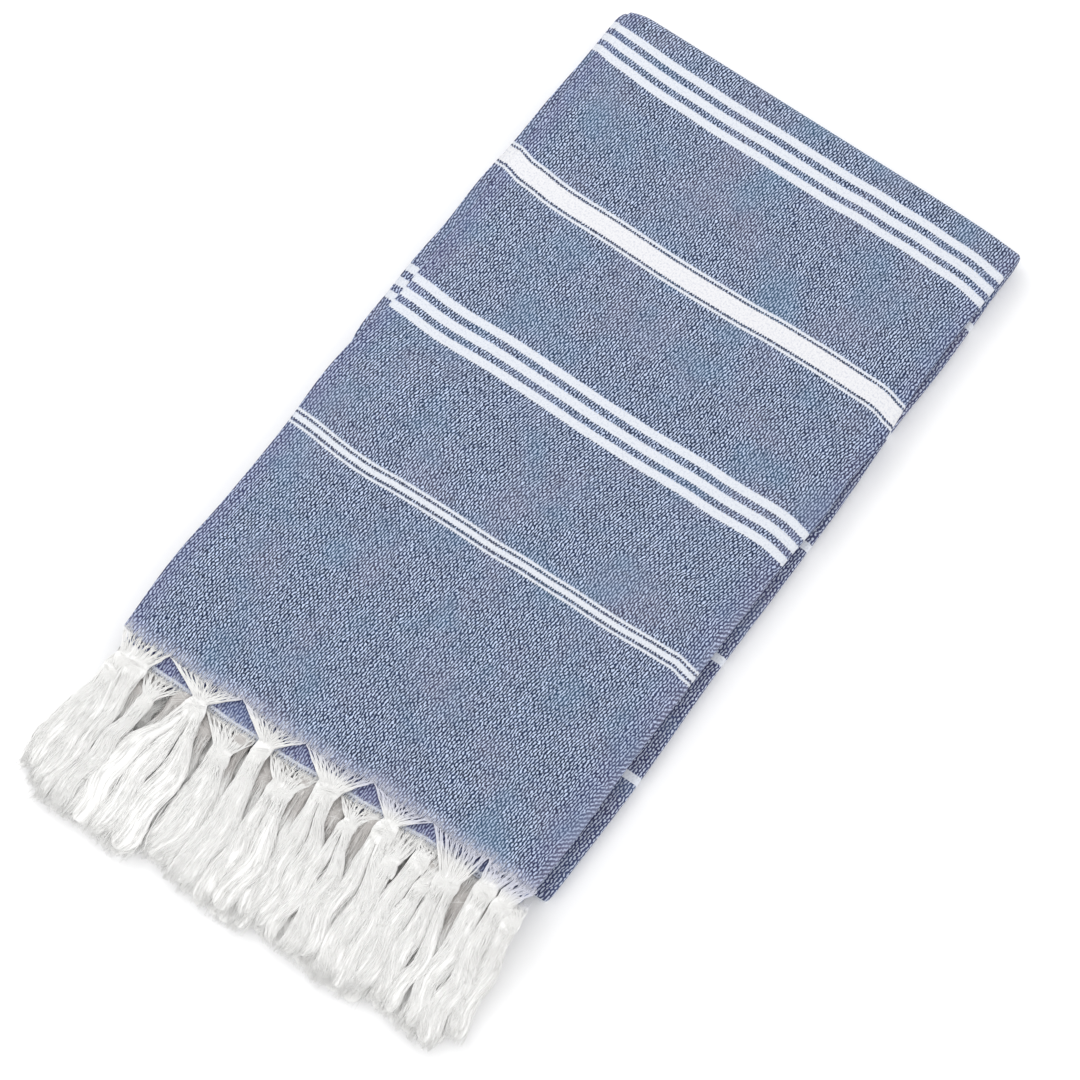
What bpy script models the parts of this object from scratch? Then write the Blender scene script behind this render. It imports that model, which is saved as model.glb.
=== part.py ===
# A flat-woven hammam towel, folded in four across its width and in four along its length,
# lying on a flat surface with both fringed ends at one side.
#
# X runs across the folded pad, Y along it from the fringe to the folded end, Z up.
# The cloth is one sheet. Its width is folded twice, so each pad is four layers thick,
# and the folded strip is then folded twice along its length, which makes four pads.
# Each end of the cloth has a narrow heading from which the warp hangs as knotted tassels.
import math

import bmesh
import bpy

MM = 0.001

# The cloth and its folds.
LAYER = 1.0 * MM  # thickness of one layer
AIR = 0.3 * MM  # space between two layers
PITCH = LAYER + AIR
PAD = 4 * LAYER + 3 * AIR  # four layers
PAD_PITCH = PAD + AIR
PAD_MIDDLE = PAD / 2
STACK = 4 * PAD + 3 * AIR
FOLD_END = 423.3 * MM  # furthest point of the folded end, measured from the upper hem
LOWER_FOLD_END = 1 * MM  # furthest point of the fold under the hems
LOWER_HEM = -14 * MM  # the lower hem reaches this far past the upper one
HEADING = 6 * MM  # length of the heading strip at each end
PARTING = 0.3 * MM  # space between the heading and the cloth

TURN_CENTRE = FOLD_END - STACK / 2
LOWER_TURN_CENTRE = LOWER_FOLD_END + PAD + AIR / 2

# The distances from the upper hem, in millimetres, at which the cloth proper starts, turns
# over at the folded end and under the hems, and ends.
START = (HEADING + PARTING) / MM
TURN = TURN_CENTRE / MM
LOWER_TURN = LOWER_TURN_CENTRE / MM
END = (LOWER_HEM + HEADING + PARTING) / MM

# Where the folded strip's edges run, in millimetres, in the order in which the strip is
# folded: the pad that the row lies in (4 is the top one), the distance from the upper hem,
# the folded edge at the right, the free edge of the outer layer, the free edge of the
# layer next to it, and the folded edge at the left.
EDGE_COLUMNS = ("pad", "y", "right", "outer_selvedge", "inner_selvedge", "left")
EDGES = (
    (4, START, 112.5, -124.4, -119.0, -118.0),
    (4, 40, 114.4, -126.1, -119.3, -118.6),
    (4, 80, 114.8, -124.5, -119.5, -119.0),
    (4, 125, 115.0, -124.0, -119.5, -119.0),
    (4, 168, 115.4, -125.5, -120.5, -119.0),
    (4, 188, 116.6, -124.0, -125.8, -119.0),
    (4, 215, 119.2, -120.6, -126.4, -119.2),
    (4, 240, 121.5, -120.0, -126.5, -119.6),
    (4, 262, 121.0, -119.7, -125.4, -120.0),
    (4, 292, 123.3, -119.5, -125.8, -120.0),
    (4, 320, 121.7, -119.4, -124.3, -120.0),
    (4, 350, 121.3, -119.3, -123.9, -120.0),
    (4, 384, 122.8, -119.1, -122.6, -120.5),
    (4, TURN, 124.2, -119.0, -122.6, -120.5),
    (1, TURN, 123.6, -121.0, -119.5, -122.0),
    (1, 290, 121.6, -121.4, -119.2, -121.6),
    (1, 150, 121.0, -120.8, -119.4, -121.2),
    (1, LOWER_TURN, 121.0, -121.2, -119.0, -120.6),
    (2, LOWER_TURN, 122.6, -120.4, -119.6, -121.4),
    (2, 70, 124.0, -120.8, -119.0, -121.8),
    (2, 148, 123.0, -120.2, -118.8, -121.2),
    (2, 205, 123.8, -120.6, -119.2, -121.6),
    (2, 260, 124.0, -120.8, -119.1, -121.8),
    (2, 302, 122.8, -120.9, -119.0, -122.0),
    (2, 350, 124.4, -121.0, -119.0, -122.2),
    (2, TURN, 123.4, -120.6, -119.4, -121.8),
    (3, TURN, 117.4, -120.2, -118.8, -121.0),
    (3, 240, 117.6, -120.6, -119.4, -120.4),
    (3, 120, 111.6, -119.8, -118.6, -120.0),
    (3, END, 110.2, -119.4, -118.4, -119.6),
)
FLAT_STEPS = (0.0, 0.14, 0.4, 0.68, 0.9, 1.0)  # where a flat layer has its points
OUTER_FOLD_STEPS = 6
INNER_FOLD_STEPS = 4
OUTER_TURN_STEPS = 7
INNER_TURN_STEPS = 5

# How the stack settles.
HEM_SKEW = 0.033  # the hems run a little askew to the folds
RIGHT_CORNER = {"from": 50 * MM, "over": 75 * MM, "drop": 1.6 * MM}
LEFT_CORNER = {"from": 108 * MM, "over": 14 * MM, "drop": 3.4 * MM}
CORNER_REACH = 60 * MM
RIGHT_PRESS = {"from": 100 * MM, "over": 26 * MM, "share": 0.11}
LEFT_PRESS = {"from": 104 * MM, "over": 22 * MM, "share": 0.06}
END_PRESS = {"from": 392 * MM, "over": 30 * MM, "share": 0.05}
SWELL = 0.014  # height of the slow waves, as a share of the height above the floor
SWELL_X = 78 * MM
SWELL_Y = 151 * MM

# The pile of tassels beyond the hems: at each distance from the upper hem, the heights of
# the floor of the lowest row of tassels and of the top of each of the four rows.
PILE_COLUMNS = ("reach", "floor", "row_1", "row_2", "row_3", "row_4")
PILE = (
    (0, 10.25, 12.85, 15.45, 18.05, 20.65),
    (14, 10.25, 12.85, 15.45, 18.75, 22.6),
    (22, 7.2, 10.6, 14.0, 17.6, 21.6),
    (30, 3.2, 6.9, 10.7, 14.6, 18.6),
    (48, 0.0, 3.3, 6.6, 9.9, 13.2),
    (68, 0.0, 2.4, 4.8, 7.2, 9.6),
    (98, 0.0, 1.7, 3.4, 5.1, 6.8),
)
ROW_AIR = 0.2 * MM  # kept clear at the top and the bottom of a row
TASSEL_AIR = 0.35 * MM  # kept clear at each side of a tassel
LOCK_AIR = 0.25 * MM  # kept clear at each side of a lock
LOCKS = 3  # locks in a tassel
FAN_REACH = 9.5 * MM  # how far from the hem the layers' fans stay one over another
FAN_HALF_HEIGHT = 0.45 * MM
FAN_NARROWS = 14 * MM  # half of what a fan loses in width on its way to the throat
FAN_NARROWEST = 6 * MM
SHORTEST_NECK = 2 * MM  # from there to the throat
END_LANE = 7.5 * MM  # from the outermost tassels of a row to the edges of their lanes
KNOT_SHIFT = 0.8 * MM  # a knot lies this far to one side or the other of its scallop's middle
KNOT_LENGTH = 11 * MM
# A knot's sections: where it is along the knot, its half width, how much of its row's height
# it fills, and how far its corners are drawn in.
KNOT_SECTIONS = (
    {"along": 0.0, "half_width": 2.6 * MM, "fill": 0.62, "bevel": 0.3},
    {"along": 0.5, "half_width": 4.8 * MM, "fill": 1.0, "bevel": 0.55},
    {"along": 1.0, "half_width": 3.6 * MM, "fill": 0.8, "bevel": 0.1},
)
# A lock's sections before its tip: their distance from the upper hem, and how much of the
# lock's share of its lane and of its row's height they fill.
LOCK_SECTIONS = (
    {"reach": 48 * MM, "width": 1.0, "fill": 0.95},
    {"reach": 68 * MM, "width": 0.94, "fill": 0.9},
)
LOCK_TIP = {"half_width": 0.7 * MM, "fill": 0.45}
LOCK_TOP = 0.7  # width of a lock's upper face, as a share of its lower one
SPREAD = 1.08  # the tassels fan out by this much at their ends
DRIFT = 4 * MM  # and all lean this far to the right
SPREAD_FROM = 20 * MM
SPREAD_TO = 95 * MM
WAVE = {"width": 1.8 * MM, "along": 13 * MM, "across": 31 * MM}  # and sway as they go

# The tassels of each layer, in millimetres. Rows 4 and 3 hang from the upper hem and rows 2
# and 1 from the lower one. Scallops are the widths of hem that the tassels gather, from the
# left: the last tassel takes what is left of the layer. Throat is how far past its hem the
# yarns are gathered, sway how much that varies, and reach where the tips end.
LAYER_COLUMNS = ("row", "upper", "scallops", "throat", "sway", "reach")
UPPER_LAYERS = (
    (4, True, (28.7, 39.6, 37.7, 38.3, 35.0, 31.5), 11.0, 3.0, 87),
    (4, False, (12.0, 36.0, 37.0, 36.0, 37.0, 36.0), 20.0, 2.5, 90),
    (3, True, (20.0, 37.0, 36.0, 38.0, 37.0, 36.0), 13.0, 2.0, 88),
    (3, False, (38.0, 37.0, 38.0, 36.0, 37.0, 36.0), 19.0, 2.5, 91),
)
LOWER_LAYERS = (
    (2, True, (26.0, 38.0, 36.0, 37.0, 36.0, 38.0), 11.5, 1.5, 93),
    (2, False, (9.0, 37.0, 37.0, 36.0, 38.0, 36.0), 15.0, 1.5, 95),
    (1, True, (18.0, 36.0, 38.0, 37.0, 37.0, 36.0), 11.5, 1.5, 94),
    (1, False, (36.0, 37.0, 36.0, 38.0, 36.0, 37.0), 15.0, 1.5, 96),
)
TASSELS_PER_LAYER = 7
TIP_SWAY = 4.0 * MM

BLUE = (0.155, 0.222, 0.402)
WHITE = (0.83, 0.82, 0.79)


def clear_scene():
    for thing in list(bpy.data.objects):
        bpy.data.objects.remove(thing, do_unlink=True)


def material(name, colour, roughness):
    made = bpy.data.materials.new(name)
    made.use_nodes = True
    shader = made.node_tree.nodes["Principled BSDF"]
    shader.inputs["Base Color"].default_value = (*colour, 1.0)
    shader.inputs["Roughness"].default_value = roughness
    shader.inputs["Metallic"].default_value = 0.0
    return made


def smooth_step(value):
    value = min(max(value, 0.0), 1.0)
    return value * value * (3 - 2 * value)


def between(low, high, share):
    return low + (high - low) * share


def read_row(table, columns, row):
    return {name: value * MM for name, value in zip(columns, table[row])}


def press(x, y):
    """How much of its height the stack keeps at a place."""
    right = RIGHT_PRESS["share"] * smooth_step((x - RIGHT_PRESS["from"]) / RIGHT_PRESS["over"])
    left = LEFT_PRESS["share"] * smooth_step((-x - LEFT_PRESS["from"]) / LEFT_PRESS["over"])
    end = END_PRESS["share"] * smooth_step((y - END_PRESS["from"]) / END_PRESS["over"])
    wave = SWELL * math.sin(x / SWELL_X + 0.6) * math.cos(y / SWELL_Y)
    return 1 - right - left - end + wave


def settle(x, y, z):
    """Moves a point of the neatly folded towel to where it lies in the settled one."""
    towards_end = smooth_step((y - FOLD_END + CORNER_REACH) / CORNER_REACH)
    right = max((x - RIGHT_CORNER["from"]) / RIGHT_CORNER["over"], 0.0)
    left = max((-x - LEFT_CORNER["from"]) / LEFT_CORNER["over"], 0.0)
    drop = RIGHT_CORNER["drop"] * right**2 + LEFT_CORNER["drop"] * min(left, 1.3) ** 2
    skew = HEM_SKEW * x * (1 - smooth_step(y / FOLD_END))
    return (x, y + skew - drop * towards_end, z * press(x, y))


def layer_height(layer):
    return layer * PITCH + LAYER / 2


def arc(centre, height, radius, start, stop, steps):
    """Points inside an arc of a section, with the direction of travel at each."""
    turn = 1 if stop > start else -1
    made = []
    for step in range(1, steps):
        angle = math.radians(between(start, stop, step / steps))
        point = (centre + radius * math.cos(angle), height + radius * math.sin(angle))
        made.append((*point, -turn * math.sin(angle), turn * math.cos(angle)))
    return made


def flat(height, start, stop, stops):
    way = 1 if stop > start else -1
    return [(between(start, stop, share), height, way, 0.0) for share in stops]


def section(edges, stops):
    """The strip's folded section as (x, height, direction x, direction height).

    stops gives, for each layer from the lowest to the outer one, where its points lie
    from left to right, as shares of its flat length.
    """
    fold = edges["right"] - 1.5 * PITCH - LAYER / 2
    left_fold = edges["left"] + PITCH / 2 + LAYER / 2
    reverse = [[1 - share for share in reversed(row)] for row in stops]
    line = flat(layer_height(3), edges["outer_selvedge"], fold, stops[3])
    line += arc(fold, 1.5 * PITCH + LAYER / 2, 1.5 * PITCH, 90, -90, OUTER_FOLD_STEPS)
    line += flat(layer_height(0), fold, left_fold, reverse[0])
    line += arc(left_fold, PITCH / 2 + LAYER / 2, PITCH / 2, 270, 90, INNER_FOLD_STEPS)
    line += flat(layer_height(1), left_fold, fold, stops[1])
    line += arc(fold, 1.5 * PITCH + LAYER / 2, PITCH / 2, -90, 90, INNER_FOLD_STEPS)
    line += flat(layer_height(2), fold, edges["inner_selvedge"], reverse[2])
    return line


def pad_height(pad):
    return (pad - 1) * PAD_PITCH + PAD_MIDDLE


def turn_stations(start, stop, before, after):
    """The stations of the turn that joins two pads."""
    if {start, stop} == {1, 2}:
        centre, height, sweep = LOWER_TURN_CENTRE, PAD + AIR / 2, (270, 90)
        radius, steps = PAD_PITCH / 2, INNER_TURN_STEPS
    elif {start, stop} == {2, 3}:
        centre, height, sweep = TURN_CENTRE, STACK / 2, (-90, 90)
        radius, steps = PAD_PITCH / 2, INNER_TURN_STEPS
    else:
        centre, height, sweep = TURN_CENTRE, STACK / 2, (90, -90)
        radius, steps = 1.5 * PAD_PITCH, OUTER_TURN_STEPS
    stations = []
    for place, (y, z, way_y, way_z) in enumerate(arc(centre, height, radius, *sweep, steps)):
        share = (place + 1) / steps
        edges = {name: between(before[name], after[name], share) for name in before}
        stations.append((y, z, -way_z, way_y, edges))
    return stations


def cloth_stations():
    """Each station of the folded strip: y, z, the pad's outward direction, and its edges."""
    stations = []
    last = None
    for row in range(len(EDGES)):
        pad = EDGES[row][0]
        edges = read_row(EDGES, EDGE_COLUMNS, row)
        if last and pad != last[0]:
            stations += turn_stations(last[0], pad, last[1], edges)
        way = 1 if pad in (4, 2) else -1
        stations.append((edges["y"], pad_height(pad), 0.0, way, edges))
        last = (pad, edges)
    return stations


def place_section(mesh, line, station):
    """Both faces of the section at one station, as two rows of vertices."""
    y, z, out_y, out_z = station
    faces = []
    for side in (1, -1):
        row = []
        for x, height, way_x, way_height in line:
            across = x - side * way_height * LAYER / 2
            lift = height + side * way_x * LAYER / 2 - PAD_MIDDLE
            row.append(mesh.verts.new(settle(across, y + out_y * lift, z + out_z * lift)))
        faces.append(row)
    return faces


def join_loops(mesh, first, second):
    """Joins two loops of an upper and a lower row of vertices, as a closed tube."""
    for row_a, row_b in zip(first, second):
        for i in range(len(row_a) - 1):
            mesh.faces.new((row_a[i], row_a[i + 1], row_b[i + 1], row_b[i]))
    for i in (0, -1):
        mesh.faces.new((first[0][i], first[1][i], second[1][i], second[0][i]))


def close_end(mesh, rows, skip=()):
    for i in range(len(rows[0]) - 1):
        if i not in skip:
            mesh.faces.new((rows[0][i], rows[0][i + 1], rows[1][i + 1], rows[1][i]))


def make_cloth(mesh):
    rows = []
    stops = [FLAT_STEPS] * 4
    for y, z, out_y, out_z, edges in cloth_stations():
        rows.append(place_section(mesh, section(edges, stops), (y, z, out_y, out_z)))
    for first, second in zip(rows, rows[1:]):
        join_loops(mesh, first, second)
    close_end(mesh, rows[0])
    close_end(mesh, rows[-1])


def pile_height(row, reach):
    """The top of a row of tassels at a distance from the upper hem; row 0 is the floor."""
    name = "floor" if row == 0 else f"row_{row}"
    table = [read_row(PILE, PILE_COLUMNS, place) for place in range(len(PILE))]
    for low, high in zip(table, table[1:]):
        if reach <= high["reach"] or high is table[-1]:
            share = (reach - low["reach"]) / (high["reach"] - low["reach"])
            return between(low[name], high[name], min(share, 1.0))


def room(row, reach):
    """The lowest and highest points that a row of tassels may have at a distance."""
    low = pile_height(row - 1, reach)
    high = pile_height(row, reach)
    return (low + (ROW_AIR if row > 1 else 0.0), high - ROW_AIR)


def scallop_ends(widths, start, stop):
    """Where the widths of hem that a layer's tassels gather begin and end."""
    ends = [start]
    for width in widths:
        ends.append(ends[-1] + width * MM)
    return ends + [stop]


def sway(seed):
    """A number from -1 to 1 that jumps about from one tassel to the next."""
    return math.sin(seed * 12.9898 + 4.1) * math.cos(seed * 4.1414 + 1.7)


def read_layers(table, hem, spans):
    """Each layer's tassels: where each starts, is gathered and ends."""
    tassels = []
    for place, row in enumerate(table):
        values = dict(zip(LAYER_COLUMNS, row))
        ends = scallop_ends(values["scallops"], *spans[place])
        for i, (start, stop) in enumerate(zip(ends, ends[1:])):
            seed = place * 7.3 + i + values["row"]
            throat = values["throat"] + values["sway"] * sway(seed)
            tassels.append(
                {
                    "place": (place, i),
                    "row": values["row"],
                    "upper": values["upper"],
                    "x": (start + stop) / 2 + KNOT_SHIFT * sway(seed + 0.5),
                    "throat": throat * MM - hem,
                    "fan": FAN_REACH - hem,
                    "reach": values["reach"] * MM + TIP_SWAY * sway(seed + 0.2),
                    "seed": seed,
                }
            )
    return tassels


def add_lanes(tassels):
    """Gives each tassel the lane that it keeps to between its neighbours in the row."""
    for row in {tassel["row"] for tassel in tassels}:
        line = sorted((t for t in tassels if t["row"] == row), key=lambda t: t["x"])
        for i, tassel in enumerate(line):
            here = tassel["x"]
            before = line[i - 1]["x"] if i else here - 2 * END_LANE
            after = line[i + 1]["x"] if i + 1 < len(line) else here + 2 * END_LANE
            tassel["lane"] = ((before + here) / 2, (here + after) / 2)


def fanned(x, reach):
    """Where a lane that starts at x has got to at a distance from the upper hem."""
    share = smooth_step((reach - SPREAD_FROM) / (SPREAD_TO - SPREAD_FROM))
    wave = WAVE["width"] * math.sin(reach / WAVE["along"] + x / WAVE["across"])
    return between(x, x * SPREAD + DRIFT, share) + wave * min(share * 2, 1.0)


def within_lane(tassel, half):
    """The sides of a section that is this wide, or as wide as the tassel's lane lets it be."""
    left, right = tassel["lane"]
    return (
        max(tassel["x"] - half, left + TASSEL_AIR),
        min(tassel["x"] + half, right - TASSEL_AIR),
    )


def new_loop(mesh, reach, sides, heights, bevel):
    """Four vertices over and four under, the outer ones drawn in by bevel."""
    low, high = heights
    middle = (low + high) / 2
    rows = []
    for level in (high, low):
        row = []
        for share in (0.0, 1 / 3, 2 / 3, 1.0):
            outer = share in (0.0, 1.0)
            z = between(level, middle, bevel) if outer else level
            row.append(mesh.verts.new(settle(between(*sides, share), -reach, z)))
        rows.append(row)
    return rows


def lock_loop(mesh, sides, reach, heights):
    """Two vertices over and two under, the upper ones nearer to each other."""
    centre, half = (sides[0] + sides[1]) / 2, (sides[1] - sides[0]) / 2
    rows = []
    for z, share in ((heights[1], LOCK_TOP), (heights[0], 1.0)):
        ends = (centre - half * share, centre + half * share)
        rows.append([mesh.verts.new(settle(x, -reach, z)) for x in ends])
    return rows


def lock_lane(tassel, number, reach):
    """The two sides of one lock's share of its tassel's lane."""
    left = fanned(tassel["lane"][0], reach) + TASSEL_AIR
    right = fanned(tassel["lane"][1], reach) - TASSEL_AIR
    side_a = between(left, right, number / LOCKS) + LOCK_AIR
    side_b = between(left, right, (number + 1) / LOCKS) - LOCK_AIR
    return side_a, side_b


def make_lock(mesh, root, tassel, number):
    """One lock of a tassel, from its face at the knot to its thin tip."""
    loop = root
    for part in LOCK_SECTIONS:
        side_a, side_b = lock_lane(tassel, number, part["reach"])
        trim = (side_b - side_a) / 2 * (1 - part["width"])
        low, high = room(tassel["row"], part["reach"])
        heights = (low, between(low, high, part["fill"]))
        next_loop = lock_loop(mesh, (side_a + trim, side_b - trim), part["reach"], heights)
        join_loops(mesh, loop, next_loop)
        loop = next_loop
    reach = tassel["reach"] + TIP_SWAY * sway(tassel["seed"] + number * 0.31)
    centre = sum(lock_lane(tassel, number, reach)) / 2
    sides = (centre - LOCK_TIP["half_width"], centre + LOCK_TIP["half_width"])
    low, high = room(tassel["row"], reach)
    tip = lock_loop(mesh, sides, reach, (low, between(low, high, LOCK_TIP["fill"])))
    join_loops(mesh, loop, tip)
    mesh.faces.new((tip[0][0], tip[0][1], tip[1][1], tip[1][0]))


def make_fan(mesh, root, tassel):
    """The yarns drawn in from the heading, over those of the layer below them."""
    low, high = room(tassel["row"], tassel["fan"])
    middle = (low + high) / 2 + (PITCH / 2 if tassel["upper"] else -PITCH / 2)
    left_to_go = 1 - min(max(tassel["fan"] / tassel["throat"], 0.0), 1.0)
    sides = within_lane(tassel, FAN_NARROWS * left_to_go + FAN_NARROWEST)
    heights = (middle - FAN_HALF_HEIGHT, middle + FAN_HALF_HEIGHT)
    loop = new_loop(mesh, tassel["fan"], sides, heights, 0.0)
    join_loops(mesh, root, loop)
    return loop


def make_tassel(mesh, root, tassel):
    """A fan of yarns gathered from the heading, its knot and its locks."""
    loop = make_fan(mesh, root, tassel)
    throat = max(tassel["throat"], tassel["fan"] + SHORTEST_NECK)
    for part in KNOT_SECTIONS:
        reach = throat + KNOT_LENGTH * part["along"]
        low, high = room(tassel["row"], reach)
        middle, thick = (low + high) / 2, (high - low) / 2 * part["fill"]
        sides = within_lane(tassel, part["half_width"])
        heights = (middle - thick, middle + thick)
        next_loop = new_loop(mesh, reach, sides, heights, part["bevel"])
        join_loops(mesh, loop, next_loop)
        loop = next_loop
    for number in range(LOCKS):
        face = [side[number : number + 2] for side in loop]
        make_lock(mesh, face, tassel, number)


def make_fringe(mesh, pad, hem, edge_row, table):
    """The heading at one end of the cloth, with its tassels."""
    edges = read_row(EDGES, EDGE_COLUMNS, edge_row)
    way = 1 if pad == 4 else -1
    fold = edges["right"] - 1.5 * PITCH - LAYER / 2
    left_fold = edges["left"] + PITCH / 2 + LAYER / 2
    starts = (left_fold, left_fold, edges["inner_selvedge"], edges["outer_selvedge"])
    order = (3, 2, 1, 0) if way == 1 else (0, 1, 2, 3)  # layers from the top down
    tassels = read_layers(table, hem, [(starts[layer], fold) for layer in order])
    add_lanes(tassels)
    stops = [None] * 4
    for place, layer in enumerate(order):
        widths = dict(zip(LAYER_COLUMNS, table[place]))["scallops"]
        ends = scallop_ends(widths, starts[layer], fold)
        shares = [(end - starts[layer]) / (fold - starts[layer]) for end in ends]
        stops[layer] = [0.0]
        for low, high in zip(shares, shares[1:]):
            stops[layer] += [between(low, high, step / LOCKS) for step in range(1, LOCKS + 1)]
    line = section(edges, stops)
    height = pad_height(pad)
    inner = place_section(mesh, line, (hem + HEADING, height, 0.0, way))
    outer = place_section(mesh, line, (hem, height, 0.0, way))
    join_loops(mesh, inner, outer)
    close_end(mesh, inner)
    roots = find_roots(outer, line, [layer_height(layer) for layer in order])
    close_end(mesh, outer, skip={i for root in roots.values() for i in root["spans"]})
    for tassel in tassels:
        make_tassel(mesh, roots[tassel["place"]]["loop"], tassel)


def find_roots(rows, line, heights):
    """The vertices of the heading's end from which each tassel grows, by layer and number."""
    roots = {}
    for place, height in enumerate(heights):
        flat_points = [i for i, point in enumerate(line) if point[1] == height]
        flat_points.sort(key=lambda i: line[i][0])
        over, under = rows
        if over[flat_points[0]].co.z < under[flat_points[0]].co.z:
            over, under = under, over
        for number in range(TASSELS_PER_LAYER):
            ids = flat_points[number * LOCKS : number * LOCKS + LOCKS + 1]
            loop = [[over[i] for i in ids], [under[i] for i in ids]]
            spans = [min(pair) for pair in zip(ids, ids[1:])]
            roots[(place, number)] = {"loop": loop, "spans": spans}
    return roots


def finish(name, mesh, surface):
    bmesh.ops.recalc_face_normals(mesh, faces=mesh.faces)
    data = bpy.data.meshes.new(name)
    mesh.to_mesh(data)
    mesh.free()
    data.materials.append(surface)
    data.shade_smooth()
    data.set_sharp_from_angle(angle=math.radians(50))
    made = bpy.data.objects.new(name, data)
    bpy.context.scene.collection.objects.link(made)
    return made


def centre_over_origin(things):
    """Stands the towel on Z = 0 with the middle of its outline over the origin."""
    points = [vertex.co for thing in things for vertex in thing.data.vertices]
    middle_x = (min(p.x for p in points) + max(p.x for p in points)) / 2
    middle_y = (min(p.y for p in points) + max(p.y for p in points)) / 2
    for thing in things:
        thing.location = (-middle_x, -middle_y, 0.0)


def build():
    clear_scene()
    weave = material("blue_weave", BLUE, 0.92)
    yarn = material("white_yarn", WHITE, 0.9)
    cloth = bmesh.new()
    make_cloth(cloth)
    upper = bmesh.new()
    make_fringe(upper, 4, 0.0, 0, UPPER_LAYERS)
    lower = bmesh.new()
    make_fringe(lower, 3, LOWER_HEM, len(EDGES) - 1, LOWER_LAYERS)
    things = [
        finish("cloth", cloth, weave),
        finish("fringe_upper", upper, yarn),
        finish("fringe_lower", lower, yarn),
    ]
    centre_over_origin(things)


build()
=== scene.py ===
# A folded hammam towel: the woven cloth on its folds, and the yarns of its knotted fringe.
import math

import bpy
import numpy as np
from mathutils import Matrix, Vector


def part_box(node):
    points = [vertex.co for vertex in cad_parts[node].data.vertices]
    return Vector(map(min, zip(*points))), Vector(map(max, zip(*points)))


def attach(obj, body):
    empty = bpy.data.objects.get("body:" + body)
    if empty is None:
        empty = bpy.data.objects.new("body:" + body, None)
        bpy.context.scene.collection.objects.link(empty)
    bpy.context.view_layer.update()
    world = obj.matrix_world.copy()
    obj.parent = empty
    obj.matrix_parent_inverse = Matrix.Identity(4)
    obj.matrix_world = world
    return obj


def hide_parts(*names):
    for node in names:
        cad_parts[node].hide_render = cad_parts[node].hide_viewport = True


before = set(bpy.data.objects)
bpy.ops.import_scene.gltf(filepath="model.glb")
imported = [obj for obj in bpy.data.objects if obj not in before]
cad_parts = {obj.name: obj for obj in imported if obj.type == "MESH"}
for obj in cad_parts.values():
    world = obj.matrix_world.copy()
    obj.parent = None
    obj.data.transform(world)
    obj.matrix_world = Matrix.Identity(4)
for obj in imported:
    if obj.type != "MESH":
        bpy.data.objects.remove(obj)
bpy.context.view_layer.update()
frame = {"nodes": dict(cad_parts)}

print("frame loaded:", ", ".join(frame["nodes"]))

mm = 0.001

# The folded cloth, in millimetres: x from the middle of the folded strip, y from the upper
# hem towards the folded end, z up from the floor.
folds = {
    "layer": 1.0,  # one layer of the fold, with its share of air
    "air": 0.3,
    "weave": 0.86,  # real thickness of the cloth
    "foldEnd": 423.3,
    "lowerFoldEnd": 1.0,
    "lowerHem": -14.0,
    "hemSkew": 0.033,
    "cornersFrom": 60,  # how far from the folded end its corners start to draw back
    "rightDrop": (1.6, 50, 75),  # how far a corner draws back, from which x, over how far
    "leftDrop": (3.4, 108, 14),
    "leftDropMost": 1.3,  # the left corner's curve goes on this far
    "pressedRight": (0.11, 100, 26),  # share of height lost near a rim, from where, over how far
    "pressedLeft": (0.06, 104, 22),
    "pressedEnd": (0.05, 392, 30),
    "swell": (0.014, 78, 0.6, 151),  # low waves: size, across, their start, along
    "nextLayerUp": (6.0, 60, 90),  # how much further up the second layer's stripes lie
    "nextLayerFades": 80,  # how far up from the hem the second layer reaches past the first
    "topEnds": 440.0,  # where the top pad ends, along the cloth
}
# How far the second layer's hem reaches past the first one's: x, distance.
nextLayerOut = (
    (-125, 12.0), (-90, 12.0), (-55, 12.8), (-20, 12.9),
    (20, 10.7), (60, 9.0), (90, 8.2), (115, 8.2),
)
# How far the notches of the upper hem are drawn in: x, distance.
notchesIn = (
    (-124, -0.5), (-95.5, -0.8), (-53.3, 1.0), (-15.3, -0.4),
    (22.9, 2.0), (57.6, 1.6), (89.4, 1.9), (113, 0.6),
)
# How much further out the top layers' right fold lies, near the hem: y, distance.
rightOut = (
    (0, 3.0), (20, 2.9), (40, 2.5), (60, 1.8), (80, 1.7), (100, 2.0), (120, 2.3),
    (150, 2.8), (178, 2.8), (190, 2.1), (200, 1.4), (220, 0.4), (235, 0.0),
)
pitch = folds["layer"] + folds["air"]
pad = 4 * folds["layer"] + 3 * folds["air"]
padPitch = pad + folds["air"]
stack = 4 * pad + 3 * folds["air"]
turnCentre = folds["foldEnd"] - stack / 2
lowerTurnCentre = folds["lowerFoldEnd"] + pad + folds["air"] / 2
rightFold = 1.5 * pitch + folds["layer"] / 2  # half the height of a pad's side folds
leftFold = 0.5 * pitch + folds["layer"] / 2

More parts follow.
